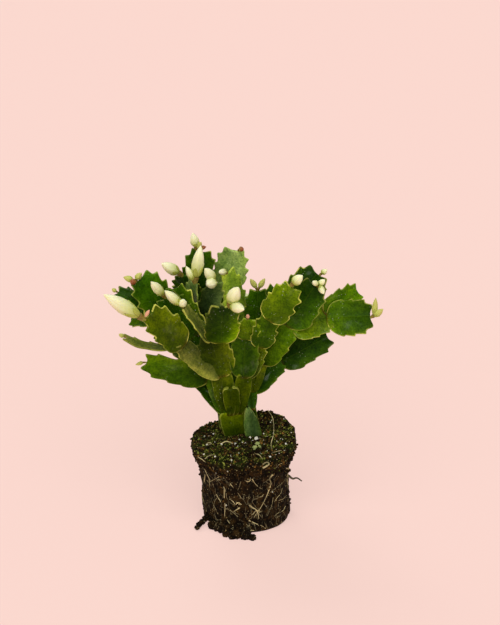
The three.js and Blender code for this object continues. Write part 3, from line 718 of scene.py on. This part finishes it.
def grainy_skin(name, shade, accent, roughness, share, scale):
    """A dry matt surface whose colour wanders between two shades, times each bit's own tone."""
    paint = Paint(name, {"Specular IOR Level": 0.1})
    own, _ = paint.tone()
    grain = paint.noise(paint.place(), scale, 3)
    mixed = paint.mix(paint.step(grain, 0.5 - share * 0.3, 0.8 - share * 0.3), shade, accent)
    return paint.finish(paint.mix(1.0, mixed, own, "MULTIPLY"), roughness, grain, 0.0004, 0.6)


# Leafy stems ----------------------------------------------------------------------------------------

Limb = namedtuple("Limb", "name seed base apex rise side face length width bow tone rim kind")
# How far a segment reaches into its carrier, and a trunk into the soil
SEGMENT_OVERLAP = 2.4
FOOT_DEPTH = 5
TOWARD_VIEWER = Vector((0, -0.93, 0.37))


def place_limbs():
    """Works out each segment's base, directions and length, as the solids have them."""
    placed = {}
    for order, (_, foot, _, rows) in enumerate(STEMS):
        for i, (name, origin, tip, width, turn, along, bow, tone, rim, kind) in enumerate(rows):
            carrier = placed.get(origin)
            base = Vector(foot)
            if carrier:
                overlap = SEGMENT_OVERLAP + abs(along) * 0.25
                base = carrier.apex + carrier.side * along - carrier.rise * overlap
            else:
                base += (base - Vector(tip)).normalized() * FOOT_DEPTH
            rise = Vector(tip) - base
            size = rise.length / KINDS[kind].apex
            rise.normalize()
            face = (TOWARD_VIEWER - rise * TOWARD_VIEWER.dot(rise)).normalized()
            face.rotate(Matrix.Rotation(math.radians(turn), 3, rise))
            placed[name] = Limb(name, 40 * (order + 1) + 7 * i, base, Vector(tip), rise, rise.cross(face),
                                face, size, width, bow, tone, rim, kind)
    return placed


limbs = place_limbs()


def add_blade(name, kind, tooth):
    """A flat segment to copy: a grid pushed to the outline, with a wall and a rounded rim.

    A tooth that is less sharp is cut less deep and stands out less.
    """
    outline, sharp = kind.outline, kind.sharp
    reach, last = len(COLUMNS) - 1, len(outline) - 1
    blade = add_form(bpy.ops.mesh.primitive_grid_add, x_subdivisions=2 * reach, y_subdivisions=last, size=2)
    # The rows rise evenly along the middle, and follow the outline's steps at the edge
    furthest, longest = 0, max(along for along, _, _ in outline)
    middle = []
    for row, (along, _, _) in enumerate(outline):
        furthest = max(furthest, along)
        middle.append(kind.apex * (0.35 * row / last + 0.65 * furthest / longest))
    for vertex in blade.data.vertices:
        column = round((vertex.co.x + 1) * reach) - reach
        row = round((vertex.co.y + 1) / 2 * last)
        along, width, cut = outline[row]
        cut *= sharp
        width = min(width, 1.01 + 0.08 * sharp) if row < last - 2 else width * (0.8 + 0.2 * sharp)
        share = COLUMNS[abs(column)]
        across = math.copysign(share * (width - tooth * cut), column)
        vertex.co = (across, middle[row] + (along - middle[row]) * share ** 3, 0)
    wall = blade.modifiers.new("wall", "SOLIDIFY")
    wall.thickness, wall.offset = 2, 0
    round_off = blade.modifiers.new("round_off", "SUBSURF")
    round_off.levels = round_off.render_levels = 1
    apply_modifiers(blade)
    bpy.ops.object.shade_smooth()
    blade.name = name
    return blade


def blade_bend(limb, settings):
    """How a flat segment is hollowed, bowed and rippled into its place."""
    woody = KINDS[limb.kind].woody
    thick = 1 + settings.wood if woody else 1
    rib, edge = settings.midrib / MM / 2 * thick, settings.margin / MM / 2 * (1 + (thick - 1) * 1.6)
    cup, ripple = settings.cup / MM, settings.ripple / MM * (0.3 if woody else 1)
    lap = LAPS.get(limb.name, 0.5)
    # Each half has its own width, and its teeth sit a little higher or lower
    spread = [0.94 + 0.12 * chance(limb.seed * 3 + side) for side in (-1, 1)]
    shift = [0.03 * (chance(limb.seed + side) - 0.5) for side in (-1, 1)]

    def place(co):
        side = co.x > 0
        out = min(abs(co.x), 1.0)
        wobble = 1 + 0.08 * noise.noise((co.y * 5, side * 3.3, limb.seed * 1.7)) * out
        across = co.x * limb.width / 2 * spread[side] * wobble
        slide = shift[side] + 0.05 * noise.noise((co.y * 4, side * 5.1, limb.seed * 0.53))
        along = co.y + slide * out * out * math.sin(math.pi * min(1, max(0, co.y)))
        half = edge + (rib - edge) * (1 - out) ** 1.3 + 0.25 * math.exp(-(out / 0.09) ** 2) * thick
        wave = ripple * noise.noise((co.y * 3.6, side * 7.1, limb.seed * 0.37)) * out * out * 2
        wave += ripple * 0.6 * noise.noise((co.x * 2.2, co.y * 4, limb.seed * 0.91))
        lift = cup * (across * 2 / limb.width) ** 2 + limb.bow * 4 * along * (1 - along) + wave
        lift += lap * max(0, 1 - along / 0.35) ** 2
        spot = limb.base + limb.rise * (along * limb.length) + limb.side * across
        return (spot + limb.face * (lift + co.z * half)) * MM

    return place


def segment_shades(blade, limb, settings):
    """A segment's greens, painted lighter where light falls and darker in shade, painted paler at the edges
    as light, browner at the foot, and its yellow margin, painted stronger on its lit side.
    """
    green = Vector(getattr(settings, limb.tone))
    pale, brown = Vector(settings.light), Vector(settings.joint)
    right, up, all_over = PAINTED_LIGHT_AND_SHADE.get(limb.name, (0.3 * (chance(limb.seed) - 0.5), 0.3, 0))
    shades, rims = [], []
    for vertex in blade.data.vertices:
        x, y = max(-1, min(1, vertex.co.x)), max(0, min(1, vertex.co.y))
        # Painted light and shade: lighter and warmer towards the lit side, darker towards the shaded side,
        # in loose blotches
        glow = right * x + up * (2 * y - 1) + all_over
        glow += 0.3 * noise.noise((x * 1.5, y * 2, limb.seed * 0.7))
        shade = green * math.exp(1.2 * glow)
        shade.x *= 1 + 0.2 * max(-1, min(1, glow))
        # The yellow margin is the segment's own, painted stronger on the side that the light falls on
        edge = 0.5 + 0.4 * right * x + 1.1 * noise.noise((math.copysign(4, x), y * 2.2, limb.seed * 0.3))
        rims.append(limb.rim * max(0.2, min(1, edge)))
        # Painted light: paler towards the edges
        shade = shade.lerp(pale, 0.3 * abs(x) ** 3)
        shades.append(shade.lerp(brown, 0.3 * max(0, 1 - y / 0.08)))
    return shades, rims


class CACTUS_OT_stems(bpy.types.Operator):
    """Add the four leafy stems, each a chain of flat toothed segments"""

    bl_idname = "cactus.add_stems"
    bl_label = "Leafy Stems"

    def execute(self, context):
        settings = context.scene.cactus_stems
        skin = segment_skin(settings)
        blades = {name: add_blade(f"{name}_blade", kind, settings.tooth) for name, kind in KINDS.items()}
        for name, _, _, rows in STEMS:
            pieces = []
            for row in rows:
                limb = limbs[row[0]]
                blade = blades[limb.kind]
                piece = copy_shaped(blade, blade_bend(limb, settings))
                paint_tone(piece, *segment_shades(blade, limb, settings))
                pieces.append(piece)
            finish_piece(join(pieces), f"leafy_{name}", "stem", skin, name)
        remove(*blades.values())
        return {"FINISHED"}


# Buds -----------------------------------------------------------------------------------------------

BUD_PETALS = 5
# A bud wider than this has five outer scales, and any other three
BROAD_BUD = 4.5
# The colours of buds that are green at their foot
GREEN_FOOTED = ("cream", "lime")


def add_spindle(name, profile, sides, rings, petals=0, step=0.0):
    """A closed form turned about +Z from 0 to 1, whose petals step up where they overlap."""
    piece = add_form(bpy.ops.mesh.primitive_uv_sphere_add, segments=sides, ring_count=rings, radius=1)
    for vertex in piece.data.vertices:
        x, y, z = vertex.co
        share = 1 - math.acos(max(-1, min(1, z))) / math.pi
        turn = math.atan2(y, x)
        radius = along_profile(profile, share)
        if petals:
            phase = petals * turn / (2 * math.pi) + 0.55 * share
            radius *= 1 + step * ((phase % 1) - 0.5) * math.sin(math.pi * share) * 2
        vertex.co = (radius * math.cos(turn), radius * math.sin(turn), share)
    bpy.ops.object.shade_smooth()
    piece.name = name
    return piece


def add_bract(name, reach):
    """One pointed outer scale, which hugs the lower end of a bud."""
    scale = add_form(bpy.ops.mesh.primitive_grid_add, x_subdivisions=4, y_subdivisions=5, size=2)
    for vertex in scale.data.vertices:
        across, along = vertex.co.x, (vertex.co.y + 1) / 2
        turn = across * 0.62 * (1 - along ** 2.2) ** 0.8
        share = 0.02 + along * reach
        radius = along_profile(BUD_PROFILE, share) * (1.07 - 0.03 * abs(across)) + 0.03 * along ** 3
        vertex.co = (radius * math.cos(turn), radius * math.sin(turn), share)
    wall = scale.modifiers.new("wall", "SOLIDIFY")
    wall.thickness, wall.offset = 0.05, 0
    apply_modifiers(scale)
    bpy.ops.object.shade_smooth()
    scale.name = name
    return scale


def frame_at(start, end):
    """A turn that takes +Z to the way from start to end."""
    return (end - start).to_track_quat("Z", "Y").to_matrix()


class CACTUS_OT_buds(bpy.types.Operator):
    """Add the clusters of closed buds at the tips of the segments"""

    bl_idname = "cactus.add_buds"
    bl_label = "Buds"

    def execute(self, context):
        settings = context.scene.cactus_buds
        skin = bud_skin(settings)
        forms = (
            add_spindle("bud", BUD_PROFILE, 30, 20, BUD_PETALS, settings.overlap),
            add_spindle("bud_cup", CUP_PROFILE, 16, 10),
            add_bract("bract", settings.bract),
        )
        for order, (name, carrier, along, points) in enumerate(BUDS):
            limb = limbs[carrier]
            tip = limb.apex + limb.side * along
            pieces = []
            for i, row in enumerate(points):
                pieces += self.bud(settings, forms, limb.rise, tip, row, order, i)
            finish_piece(join(pieces), f"{name}_cluster", "bud", skin, name)
        remove(*forms)
        return {"FINISHED"}

    def bud(self, settings, forms, rise, tip, row, order, i):
        """One bud on a segment's tip: its petals, the cup that it grows from, and its outer scales."""
        full, cup, bract = forms
        x, y, z, width, shade = row
        point = Vector((x, y, z))
        lean = 1 - rise.dot((point - tip).normalized())
        seat = tip + rise * (0.95 + 2.4 * lean)
        root = tip - rise * 0.9
        reach = (point - seat).length
        collar = min(0.22 * reach, 0.6 * width)
        axis = (point - seat).normalized()
        neck = seat + axis * collar
        bud_turn = frame_at(seat, point) @ Matrix.Rotation(chance(order * 5 + i) * 6, 3, "Z")
        bud_size = Vector((width / 2, width / 2, reach - collar * 0.92))
        cup_turn = frame_at(root, neck)

        def on_bud(co):
            return (neck - axis * collar * 0.08 + bud_turn @ (co * bud_size)) * MM

        def on_cup(co):
            ribs = 1 + 0.07 * math.cos(5 * math.atan2(co.y, co.x))
            size = Vector((width / 2 * ribs, width / 2 * ribs, (neck - root).length))
            return (root + cup_turn @ (co * size)) * MM

        body = copy_shaped(full, on_bud)
        paint_tone(body, getattr(settings, shade), 0.9 if shade in GREEN_FOOTED else 0.2)
        base = copy_shaped(cup, on_cup)
        paint_tone(base, settings.cup, 0.3)
        pieces = [body, base]
        own = [a * 0.75 + b * 0.25 for a, b in zip(settings.base, settings.cup)]
        scales = 5 if width > BROAD_BUD else 3
        for k in range(scales):
            around = Matrix.Rotation(k * 2 * math.pi / scales + 0.5, 3, "Z")
            shorter = 0.75 + 0.4 * chance(order * 31 + i * 7 + k)

            def on_bract(co, around=around, shorter=shorter):
                return on_bud(around @ Vector((co.x, co.y, co.z * shorter)))

            scale = copy_shaped(bract, on_bract)
            paint_tone(scale, own, 0.5)
            pieces.append(scale)
        return pieces


# Root ball ------------------------------------------------------------------------------------------


def crumb_relief(angle, z):
    """Crumbly relief of the soil, as the solid has it."""
    coarse = math.sin(5 * angle + 0.11 * z) + math.sin(9 * angle - 0.23 * z + 1.7)
    fine = math.sin(17 * angle + 0.41 * z + 0.6) + math.sin(23 * angle - 0.37 * z + 2.1)
    return (LIP_RELIEF if z > LIP_FROM else SIDE_RELIEF) * (coarse + 0.6 * fine)


def top_relief(x, y):
    """How far the top stands up at a place: lumps, a rise at the back and a raised rim."""
    lumps = math.sin(0.42 * x + 1) * math.sin(0.47 * y) + math.sin(0.21 * x - 0.31 * y + 2)
    back = BACK_RISE * max(0, 0.7 * x + 0.72 * y - 13) / 26
    rim = max(0, min(1, (y + 30) / 40)) * (math.hypot(x, y) / 42) ** 4
    return TOP_RELIEF * lumps + back + RIM_RISE * rim


def side_point(angle, z, lift):
    """A place on the plug's side at an angle and a height, lifted off it."""
    side = PLUG[RIM_ROW:-1]
    radius = side[-1][0]
    for (r0, z0), (r1, z1) in zip(side, side[1:]):
        if z >= z1:
            radius = r0 + (r1 - r0) * (z0 - min(z, z0)) / (z0 - z1)
            break
    radius += crumb_relief(angle, z) + lift
    return Vector((radius * math.cos(angle) + PLUG_LEAN * z / PLUG_HEIGHT, radius * math.sin(angle), z))


def top_point(x, y, lift):
    """A place on the top of the soil, lifted off it."""
    level = along_profile(PLUG[:RIM_ROW + 1], min(math.hypot(x, y), TOP_REACH))
    return Vector((x + PLUG_LEAN, y, level + top_relief(x, y) + lift))


def clear_of_stems(x, y):
    """Whether a place lies outside the oval of every stem's foot."""
    return all(math.hypot((x - foot[0]) / (half[0] + STEM_ROOM), (y - foot[1]) / (half[1] + STEM_ROOM)) > 1
               for _, foot, half, _ in STEMS)


class CACTUS_OT_root_ball(bpy.types.Operator):
    """Add the plug of soil, with its flared lip, clods and grit, and the lumps at its foot"""

    bl_idname = "cactus.add_root_ball"
    bl_label = "Root Ball"

    def execute(self, context):
        settings = context.scene.cactus_soil
        plug = add_form(bpy.ops.mesh.primitive_uv_sphere_add, segments=250, ring_count=160, radius=1)
        self.shape(plug)
        for name, kind, size, depth in (("clods", "VORONOI", 0.0042, -settings.clods),
                                        ("grit", "CLOUDS", 0.0011, settings.grit)):
            texture = bpy.data.textures.new(name, kind)
            texture.noise_scale = size
            relief = plug.modifiers.new(name, "DISPLACE")
            relief.texture, relief.texture_coords = texture, "LOCAL"
            relief.strength, relief.mid_level, relief.vertex_group = depth, 0.5, "rough"
        apply_modifiers(plug)
        bpy.ops.object.shade_smooth()
        lumps = [self.lump(i, row) for i, row in enumerate(FOOT_CRUMBS)]
        plug = join([plug, *lumps])
        for vertex in plug.data.vertices:
            vertex.co.z = max(0, vertex.co.z)
        finish_piece(plug, "root_ball_soil", "soil", soil_skin(settings), "root_ball")
        return {"FINISHED"}

    def shape(self, plug):
        """Turns a ball into the plug: the outline's runs become shares of the way from pole to pole."""
        runs = [0.0]
        for (r0, z0), (r1, z1) in zip(PLUG, PLUG[1:]):
            runs.append(runs[-1] + math.hypot(r1 - r0, z1 - z0))
        radii = [(run / runs[-1], r) for run, (r, _) in zip(runs, PLUG)]
        levels = [(run / runs[-1], z) for run, (_, z) in zip(runs, PLUG)]
        rough = plug.vertex_groups.new(name="rough")
        for vertex in plug.data.vertices:
            share = math.acos(max(-1, min(1, vertex.co.z))) / math.pi
            angle = math.atan2(vertex.co.y, vertex.co.x)
            radius, z = along_profile(radii, share), along_profile(levels, share)
            on_top = z > TOP_FROM
            radius += 0 if on_top or z < 1 else crumb_relief(angle, z)
            x, y = radius * math.cos(angle), radius * math.sin(angle)
            z += top_relief(x, y) if on_top else 0
            vertex.co = Vector((x + PLUG_LEAN * z / PLUG_HEIGHT, y, z)) * MM
            weight = min(1, z / 6) * (1 if z > LIP_FROM else 0.55)
            rough.add([vertex.index], weight, "REPLACE")

    def lump(self, order, row):
        """One lump that leans out at the foot, with its own clods."""
        piece = add_form(bpy.ops.mesh.primitive_ico_sphere_add, subdivisions=4, radius=row[3] * MM,
                         location=[c * MM for c in row[:3]])
        bpy.ops.object.transform_apply(location=True)
        middle = Vector(row[:3]) * MM
        for vertex in piece.data.vertices:
            bulge = noise.noise(vertex.co * 500 + Vector((order, 0, 0)))
            bulge += 0.8 * noise.noise(vertex.co * 1100)
            vertex.co = middle + (vertex.co - middle) * (0.98 + 0.3 * bulge)
        bpy.ops.object.shade_smooth()
        return piece


def thread(name, places, thickness, taper=0.35):
    """A thin root along places in millimetres, as a curve with closed ends."""
    line = bpy.data.curves.new(name, "CURVE")
    line.dimensions = "3D"
    line.bevel_depth = thickness / 2 * MM
    line.bevel_resolution = 1
    line.resolution_u = 4
    line.use_fill_caps = True
    spline = line.splines.new("BEZIER")
    spline.bezier_points.add(len(places) - 1)
    for i, (point, place) in enumerate(zip(spline.bezier_points, places)):
        point.co = place * MM
        point.handle_left_type = point.handle_right_type = "AUTO"
        point.radius = 1 - (1 - taper) * i / (len(places) - 1)
    piece = bpy.data.objects.new(name, line)
    bpy.context.collection.objects.link(piece)
    return piece


def to_mesh(pieces):
    """Curves turned into meshes and joined into one piece."""
    select(*pieces)
    bpy.ops.object.convert(target="MESH")
    bpy.ops.object.join()
    bpy.ops.object.shade_smooth()
    return bpy.context.object


class CACTUS_OT_root_net(bpy.types.Operator):
    """Add the net of roots on the side of the plug, and the thin roots on its top"""

    bl_idname = "cactus.add_root_net"
    bl_label = "Root Net"

    def execute(self, context):
        settings = context.scene.cactus_soil
        marked = [*self.marked_roots(), *self.top_strands()]
        threads = [*self.coarse_roots(), *self.fine_roots(settings.roots)]
        stray = [thread("stray_root", [Vector(place) for place in STRAY_ROOT], 2.4, 0.4)]
        nets = []
        for family, low, span in ((marked, 0.4, 1.2), (threads, 0.04, 1.0), (stray, 0.02, 0.3)):
            net = to_mesh(family)
            wander = [low + span * max(0, 0.3 + noise.noise(v.co * 130)) for v in net.data.vertices]
            paint_tone(net, [warm(share, 0.97, 0.9) for share in wander], wander)
            nets.append(net)
        net = join(nets)
        skin = grainy_skin("root_skin", settings.root, (0.42, 0.36, 0.19), 0.7, 0.3, 500)
        finish_piece(net, "root_net", "soil", skin)
        return {"FINISHED"}

    def marked_roots(self):
        """The roots on the side that stand out, each in its own place."""
        for places, thickness in MARKED_ROOTS:
            path = [side_point(math.radians(angle), z, 0.1) for angle, z in places]
            yield thread("marked_root", path, thickness * 0.75, 0.5)

    def top_strands(self):
        """The roots that lie on the top, arched in their middle."""
        for places, arch, thickness in TOP_STRANDS:
            last = len(places) - 1
            path = [top_point(x - PLUG_LEAN, y, 0.5 + arch * math.sin(math.pi * i / last))
                    for i, (x, y) in enumerate(places)]
            yield thread("top_root", path, thickness, 0.7)

    def fine_roots(self, count):
        """Short fine roots, scattered over the side."""
        draw = random.Random(11)
        for _ in range(count):
            angle, z = draw.uniform(-math.pi, math.pi), draw.uniform(8, 57)
            way = draw.choice((-1, 1)) * draw.uniform(0.02, 0.16)
            fall = draw.uniform(1.5, 5) * draw.choice((-1, 1, 1, 1))
            path = []
            for _ in range(draw.randint(3, 7)):
                if not 1.5 < z < 61:
                    break
                path.append(side_point(angle, z, draw.uniform(-0.5, 0.35)))
                angle += way + draw.uniform(-0.06, 0.06)
                z -= fall * draw.uniform(0.5, 1.2)
            if len(path) > 2:
                yield thread("fine_root", path, draw.uniform(0.2, 0.42))

    def coarse_roots(self):
        """The roots that the solid has, in the same places."""
        for i in range(18):
            angle, z = i * 2.4, 22 + 30 * chance(3 * i + 1)
            drift = 0.5 * (chance(3 * i + 2) - 0.5)
            path = []
            for k in range(4):
                if z <= 3:
                    break
                path.append(side_point(angle, z, 0.15))
                angle += drift + 0.12 * (chance(11 * i + k) - 0.5)
                z -= 3 + 6 * chance(7 * i + k)
            if len(path) > 1:
                yield thread("side_root", path, 0.7 + 0.5 * chance(i))


def warm(shade, green=0.96, blue=0.85):
    """A grey with less green and blue in it."""
    return shade, shade * green, shade * blue


def scatter(template, spots, draw, squash, jitter):
    """Copies of a small form at spots, each turned, sized and toned by its own draw."""
    pieces = []
    for place, size, turn, tone in spots:
        own = draw.uniform(0, 90)

        def put(co, place=place, size=size, turn=turn, own=own):
            dent = 1 + jitter * noise.noise(co * 1.6 + Vector((own, 0, 0)))
            shaped = Vector((co.x, co.y, co.z * squash)) * dent
            return (place + turn @ (shaped * size)) * MM

        piece = copy_shaped(template, put)
        paint_tone(piece, tone)
        pieces.append(piece)
    scattered = join(pieces)
    remove(template)
    return scattered


def any_turn(draw):
    """A turn at random, drawn as a full turn, half a turn and another full turn at most."""
    return (Matrix.Rotation(draw.uniform(0, 6.28), 3, "Z") @ Matrix.Rotation(draw.uniform(0, 3.14), 3, "X")
            @ Matrix.Rotation(draw.uniform(0, 6.28), 3, "Z"))


# How far out loose bits lie on the top, and what share of those on the side lie on the lip
BITS_REACH = 41
LIP_SHARE = 0.72


def soil_spot(draw, lift, top_share):
    """A random place on the top, the lip or the side of the plug, and its outward direction."""
    if draw.random() < top_share:
        while True:
            radius, angle = BITS_REACH * math.sqrt(draw.random()), draw.uniform(-math.pi, math.pi)
            x, y = radius * math.cos(angle), radius * math.sin(angle)
            if clear_of_stems(x + PLUG_LEAN, y):
                return top_point(x, y, lift), Vector((0, 0, 1))
    angle = draw.uniform(-math.pi, math.pi)
    z = draw.uniform(50, 65) if draw.random() < LIP_SHARE else draw.uniform(3, 50)
    return side_point(angle, z, lift), Vector((math.cos(angle), math.sin(angle), 0))


# Tones of the crumbs, times the soil's own colour, from dark peat to pale bark
TOP_TONES = (0.6, 0.8, 1.0, 2.0, 5.0, 8.0)
SIDE_TONES = (0.6, 0.8, 1.0, 1.6, 4.0)
FOOT_TONES = (0.5, 0.8, 1.0, 1.5)
CRUMBS_TO_A_LUMP = 22


class CACTUS_OT_crumbs(bpy.types.Operator):
    """Add loose crumbs of soil on the top, the lip, the side and the foot of the plug"""

    bl_idname = "cactus.add_crumbs"
    bl_label = "Crumbs"

    def execute(self, context):
        settings = context.scene.cactus_soil
        draw = random.Random(5)
        crumb = add_form(bpy.ops.mesh.primitive_ico_sphere_add, subdivisions=1, radius=1)
        spots = []
        for _ in range(settings.crumbs):
            size = 0.45 + 1.1 * draw.random() ** 2.5
            place, _ = soil_spot(draw, size * 0.25, 0.5)
            shade = draw.choice(TOP_TONES if place.z > 56 else SIDE_TONES)
            spots.append((place, size, any_turn(draw), warm(shade)))
        for x, y, z, size in FOOT_CRUMBS:
            for _ in range(CRUMBS_TO_A_LUMP):
                way = Vector((draw.gauss(0, 1), draw.gauss(0, 1), abs(draw.gauss(0, 1)))).normalized()
                place = Vector((x, y, z)) + way * size * 0.95
                small = draw.uniform(0.35, 0.8)
                place.z = max(place.z, small)
                shade = draw.choice(FOOT_TONES)
                spots.append((place, small, any_turn(draw), warm(shade)))
        crumbs = scatter(crumb, spots, draw, 0.8, 0.6)
        skin = grainy_skin("crumb_skin", settings.peat, settings.bark, 0.9, 0.3, 700)
        finish_piece(crumbs, "soil_crumbs", "soil", skin)
        return {"FINISHED"}


class CACTUS_OT_perlite(bpy.types.Operator):
    """Add the white grains of perlite in the soil, and its soft green lumps"""

    bl_idname = "cactus.add_perlite"
    bl_label = "Perlite"

    def execute(self, context):
        settings = context.scene.cactus_soil
        draw = random.Random(8)
        grain = add_form(bpy.ops.mesh.primitive_ico_sphere_add, subdivisions=2, radius=1)
        spots = [(top_point(x - PLUG_LEAN, y, size * 0.25), size / 2, any_turn(draw), (1, 1, 1))
                 for x, y, size in MARKED_GRAINS]
        for _ in range(settings.grains):
            size = draw.uniform(0.3, 0.75)
            place, _ = soil_spot(draw, 0.4, 0.55)
            shade = draw.uniform(0.65, 1)
            spots.append((place, size, any_turn(draw), warm(shade, 1, 0.9)))
        for x, y, size in MOSSY_LUMPS:
            spots.append((top_point(x, y, 0.4), size / 2, any_turn(draw), (0.42, 0.5, 0.2)))
        grains = scatter(grain, spots, draw, 0.75, 0.5)
        skin = grainy_skin("perlite_skin", settings.perlite, (0.6, 0.56, 0.44), 0.8, 0.3, 1500)
        finish_piece(grains, "perlite_grains", "soil", skin)
        return {"FINISHED"}


class CACTUS_OT_moss(bpy.types.Operator):
    """Add the tufts of moss on the top of the soil"""

    bl_idname = "cactus.add_moss"
    bl_label = "Moss"

    def execute(self, context):
        settings = context.scene.cactus_soil
        draw = random.Random(3)
        tuft = self.tuft(draw)
        spots = []
        while len(spots) < settings.tufts:
            place, out = soil_spot(draw, -0.2, 0.8)
            if place.z < 54 or noise.noise(place * 0.11 + Vector((4, 0, 0))) < -0.12:
                continue
            size = draw.uniform(0.7, 1.7)
            sway = Vector((draw.gauss(0, 0.3), draw.gauss(0, 0.3), 0))
            up = (out + Vector((0, 0, 0.8)) + sway).normalized()
            turn = up.to_track_quat("Z", "Y").to_matrix() @ Matrix.Rotation(draw.uniform(0, 6.28), 3, "Z")
            pale = draw.random() ** 2.2
            shade = [a + (b - a) * pale for a, b in zip(settings.moss, settings.sprout)]
            spots.append((place, size, turn, shade))
        moss = scatter(tuft, spots, draw, 1.0, 0.3)
        skin = grainy_skin("moss_skin", (1, 1, 1), (0.6, 0.62, 0.5), 0.8, 0.5, 1300)
        finish_piece(moss, "moss_tufts", "soil", skin)
        return {"FINISHED"}

    def tuft(self, draw):
        """Ten pointed leaves that spread from one foot."""
        leaves = []
        for i in range(10):
            leaf = add_form(bpy.ops.mesh.primitive_cone_add, vertices=3, radius1=0.16, depth=1.3,
                            location=(0, 0, 0.5))
            bpy.ops.object.transform_apply(location=True)
            lean = Matrix.Rotation(i * 2.4, 4, "Z") @ Matrix.Rotation(0.25 + 0.085 * i, 4, "X")
            leaf.data.transform(lean @ Matrix.Scale(draw.uniform(0.7, 1.15), 4))
            leaves.append(leaf)
        return join(leaves)


# Stage ----------------------------------------------------------------------------------------------

# The middle of the picture, at the plant's depth
VIEW_MIDDLE = Vector((0.002895, 0, 0.178891))


def add_sun(name, tip, roll, strength, width, cast):
    """A far lamp, tipped and rolled by degrees from straight above."""
    bpy.ops.object.light_add(type="SUN", rotation=(math.radians(tip), math.radians(roll), 0))
    lamp = bpy.context.object
    lamp.name = name
    lamp.data.energy, lamp.data.angle, lamp.data.color = strength, width, cast


class CACTUS_OT_stage(bpy.types.Operator):
    """Add the plain floor, the soft light and the camera"""

    bl_idname = "cactus.add_stage"
    bl_label = "Stage"

    def execute(self, context):
        settings = context.scene.cactus_stage
        scene = context.scene
        floor = add_form(bpy.ops.mesh.primitive_plane_add, size=40)
        floor.name = floor.data.name = "stage_floor"
        paint = Paint("floor_paper", {"Specular IOR Level": 0, "Emission Strength": settings.lift})
        haze = paint.noise(paint.place(), 0.7, 1) * 0.05
        glow = paint.mix(haze, settings.floor, (0.86, 0.6, 0.52))
        paint.feed(paint.shader.inputs["Emission Color"], glow)
        shade = paint.mix(haze, tuple(c * (1 - settings.lift) for c in settings.floor), (0.5, 0.4, 0.36))
        floor.data.materials.append(paint.finish(shade, 0.9))

        add_sun("soft_sun", 36, -4, settings.sun, settings.softness, (1, 0.98, 0.95))
        add_sun("far_window", -38, -22, settings.window, math.radians(24), (1, 1, 1))

        world = bpy.data.worlds.new("soft_room")
        world.use_nodes = True
        sky = world.node_tree.nodes["Background"]
        sky.inputs["Color"].default_value = (1, 0.95, 0.94, 1)
        sky.inputs["Strength"].default_value = settings.sky
        scene.world = world
        scene.view_settings.view_transform = "Standard"

        back = Vector((0, -math.cos(settings.pitch), math.sin(settings.pitch)))
        bpy.ops.object.camera_add(location=VIEW_MIDDLE + back * settings.distance,
                                  rotation=(math.pi / 2 - settings.pitch, 0, 0))
        camera = context.object
        camera.name = "photo_camera"
        camera.data.sensor_fit, camera.data.sensor_height = "VERTICAL", 36
        camera.data.lens = settings.lens
        scene.camera = camera
        return {"FINISHED"}


class CACTUS_PT_panel(bpy.types.Panel):
    """The pieces of the plant, one button each, with their settings"""

    bl_label = "Christmas Cactus"
    bl_space_type = "VIEW_3D"
    bl_region_type = "UI"
    bl_category = "Cactus"

    def draw(self, context):
        for operator, settings in STEPS:
            box = self.layout.box()
            box.operator(operator.bl_idname)
            group = getattr(context.scene, settings)
            for name in group.bl_rna.properties.keys():
                if name not in ("rna_type", "name"):
                    box.prop(group, name)


STEPS = (
    (CACTUS_OT_stems, "cactus_stems"),
    (CACTUS_OT_buds, "cactus_buds"),
    (CACTUS_OT_root_ball, "cactus_soil"),
    (CACTUS_OT_root_net, "cactus_soil"),
    (CACTUS_OT_crumbs, "cactus_soil"),
    (CACTUS_OT_perlite, "cactus_soil"),
    (CACTUS_OT_moss, "cactus_soil"),
    (CACTUS_OT_stage, "cactus_stage"),
)
GROUPS = {
    "cactus_stems": CactusStemSettings,
    "cactus_buds": CactusBudSettings,
    "cactus_soil": CactusSoilSettings,
    "cactus_stage": CactusStageSettings,
}


def register():
    for group in GROUPS.values():
        bpy.utils.register_class(group)
    for operator, _ in STEPS:
        bpy.utils.register_class(operator)
    bpy.utils.register_class(CACTUS_PT_panel)
    for name, group in GROUPS.items():
        setattr(bpy.types.Scene, name, PointerProperty(type=group))


def unregister():
    for name in GROUPS:
        delattr(bpy.types.Scene, name)
    bpy.utils.unregister_class(CACTUS_PT_panel)
    for operator, _ in reversed(STEPS):
        bpy.utils.unregister_class(operator)
    for group in reversed(GROUPS.values()):
        bpy.utils.unregister_class(group)


def main():
    """Builds every piece in order."""
    register()
    for operator, _ in STEPS:
        family, name = operator.bl_idname.split(".")
        getattr(getattr(bpy.ops, family), name)()


if __name__ == "__main__":
    main()
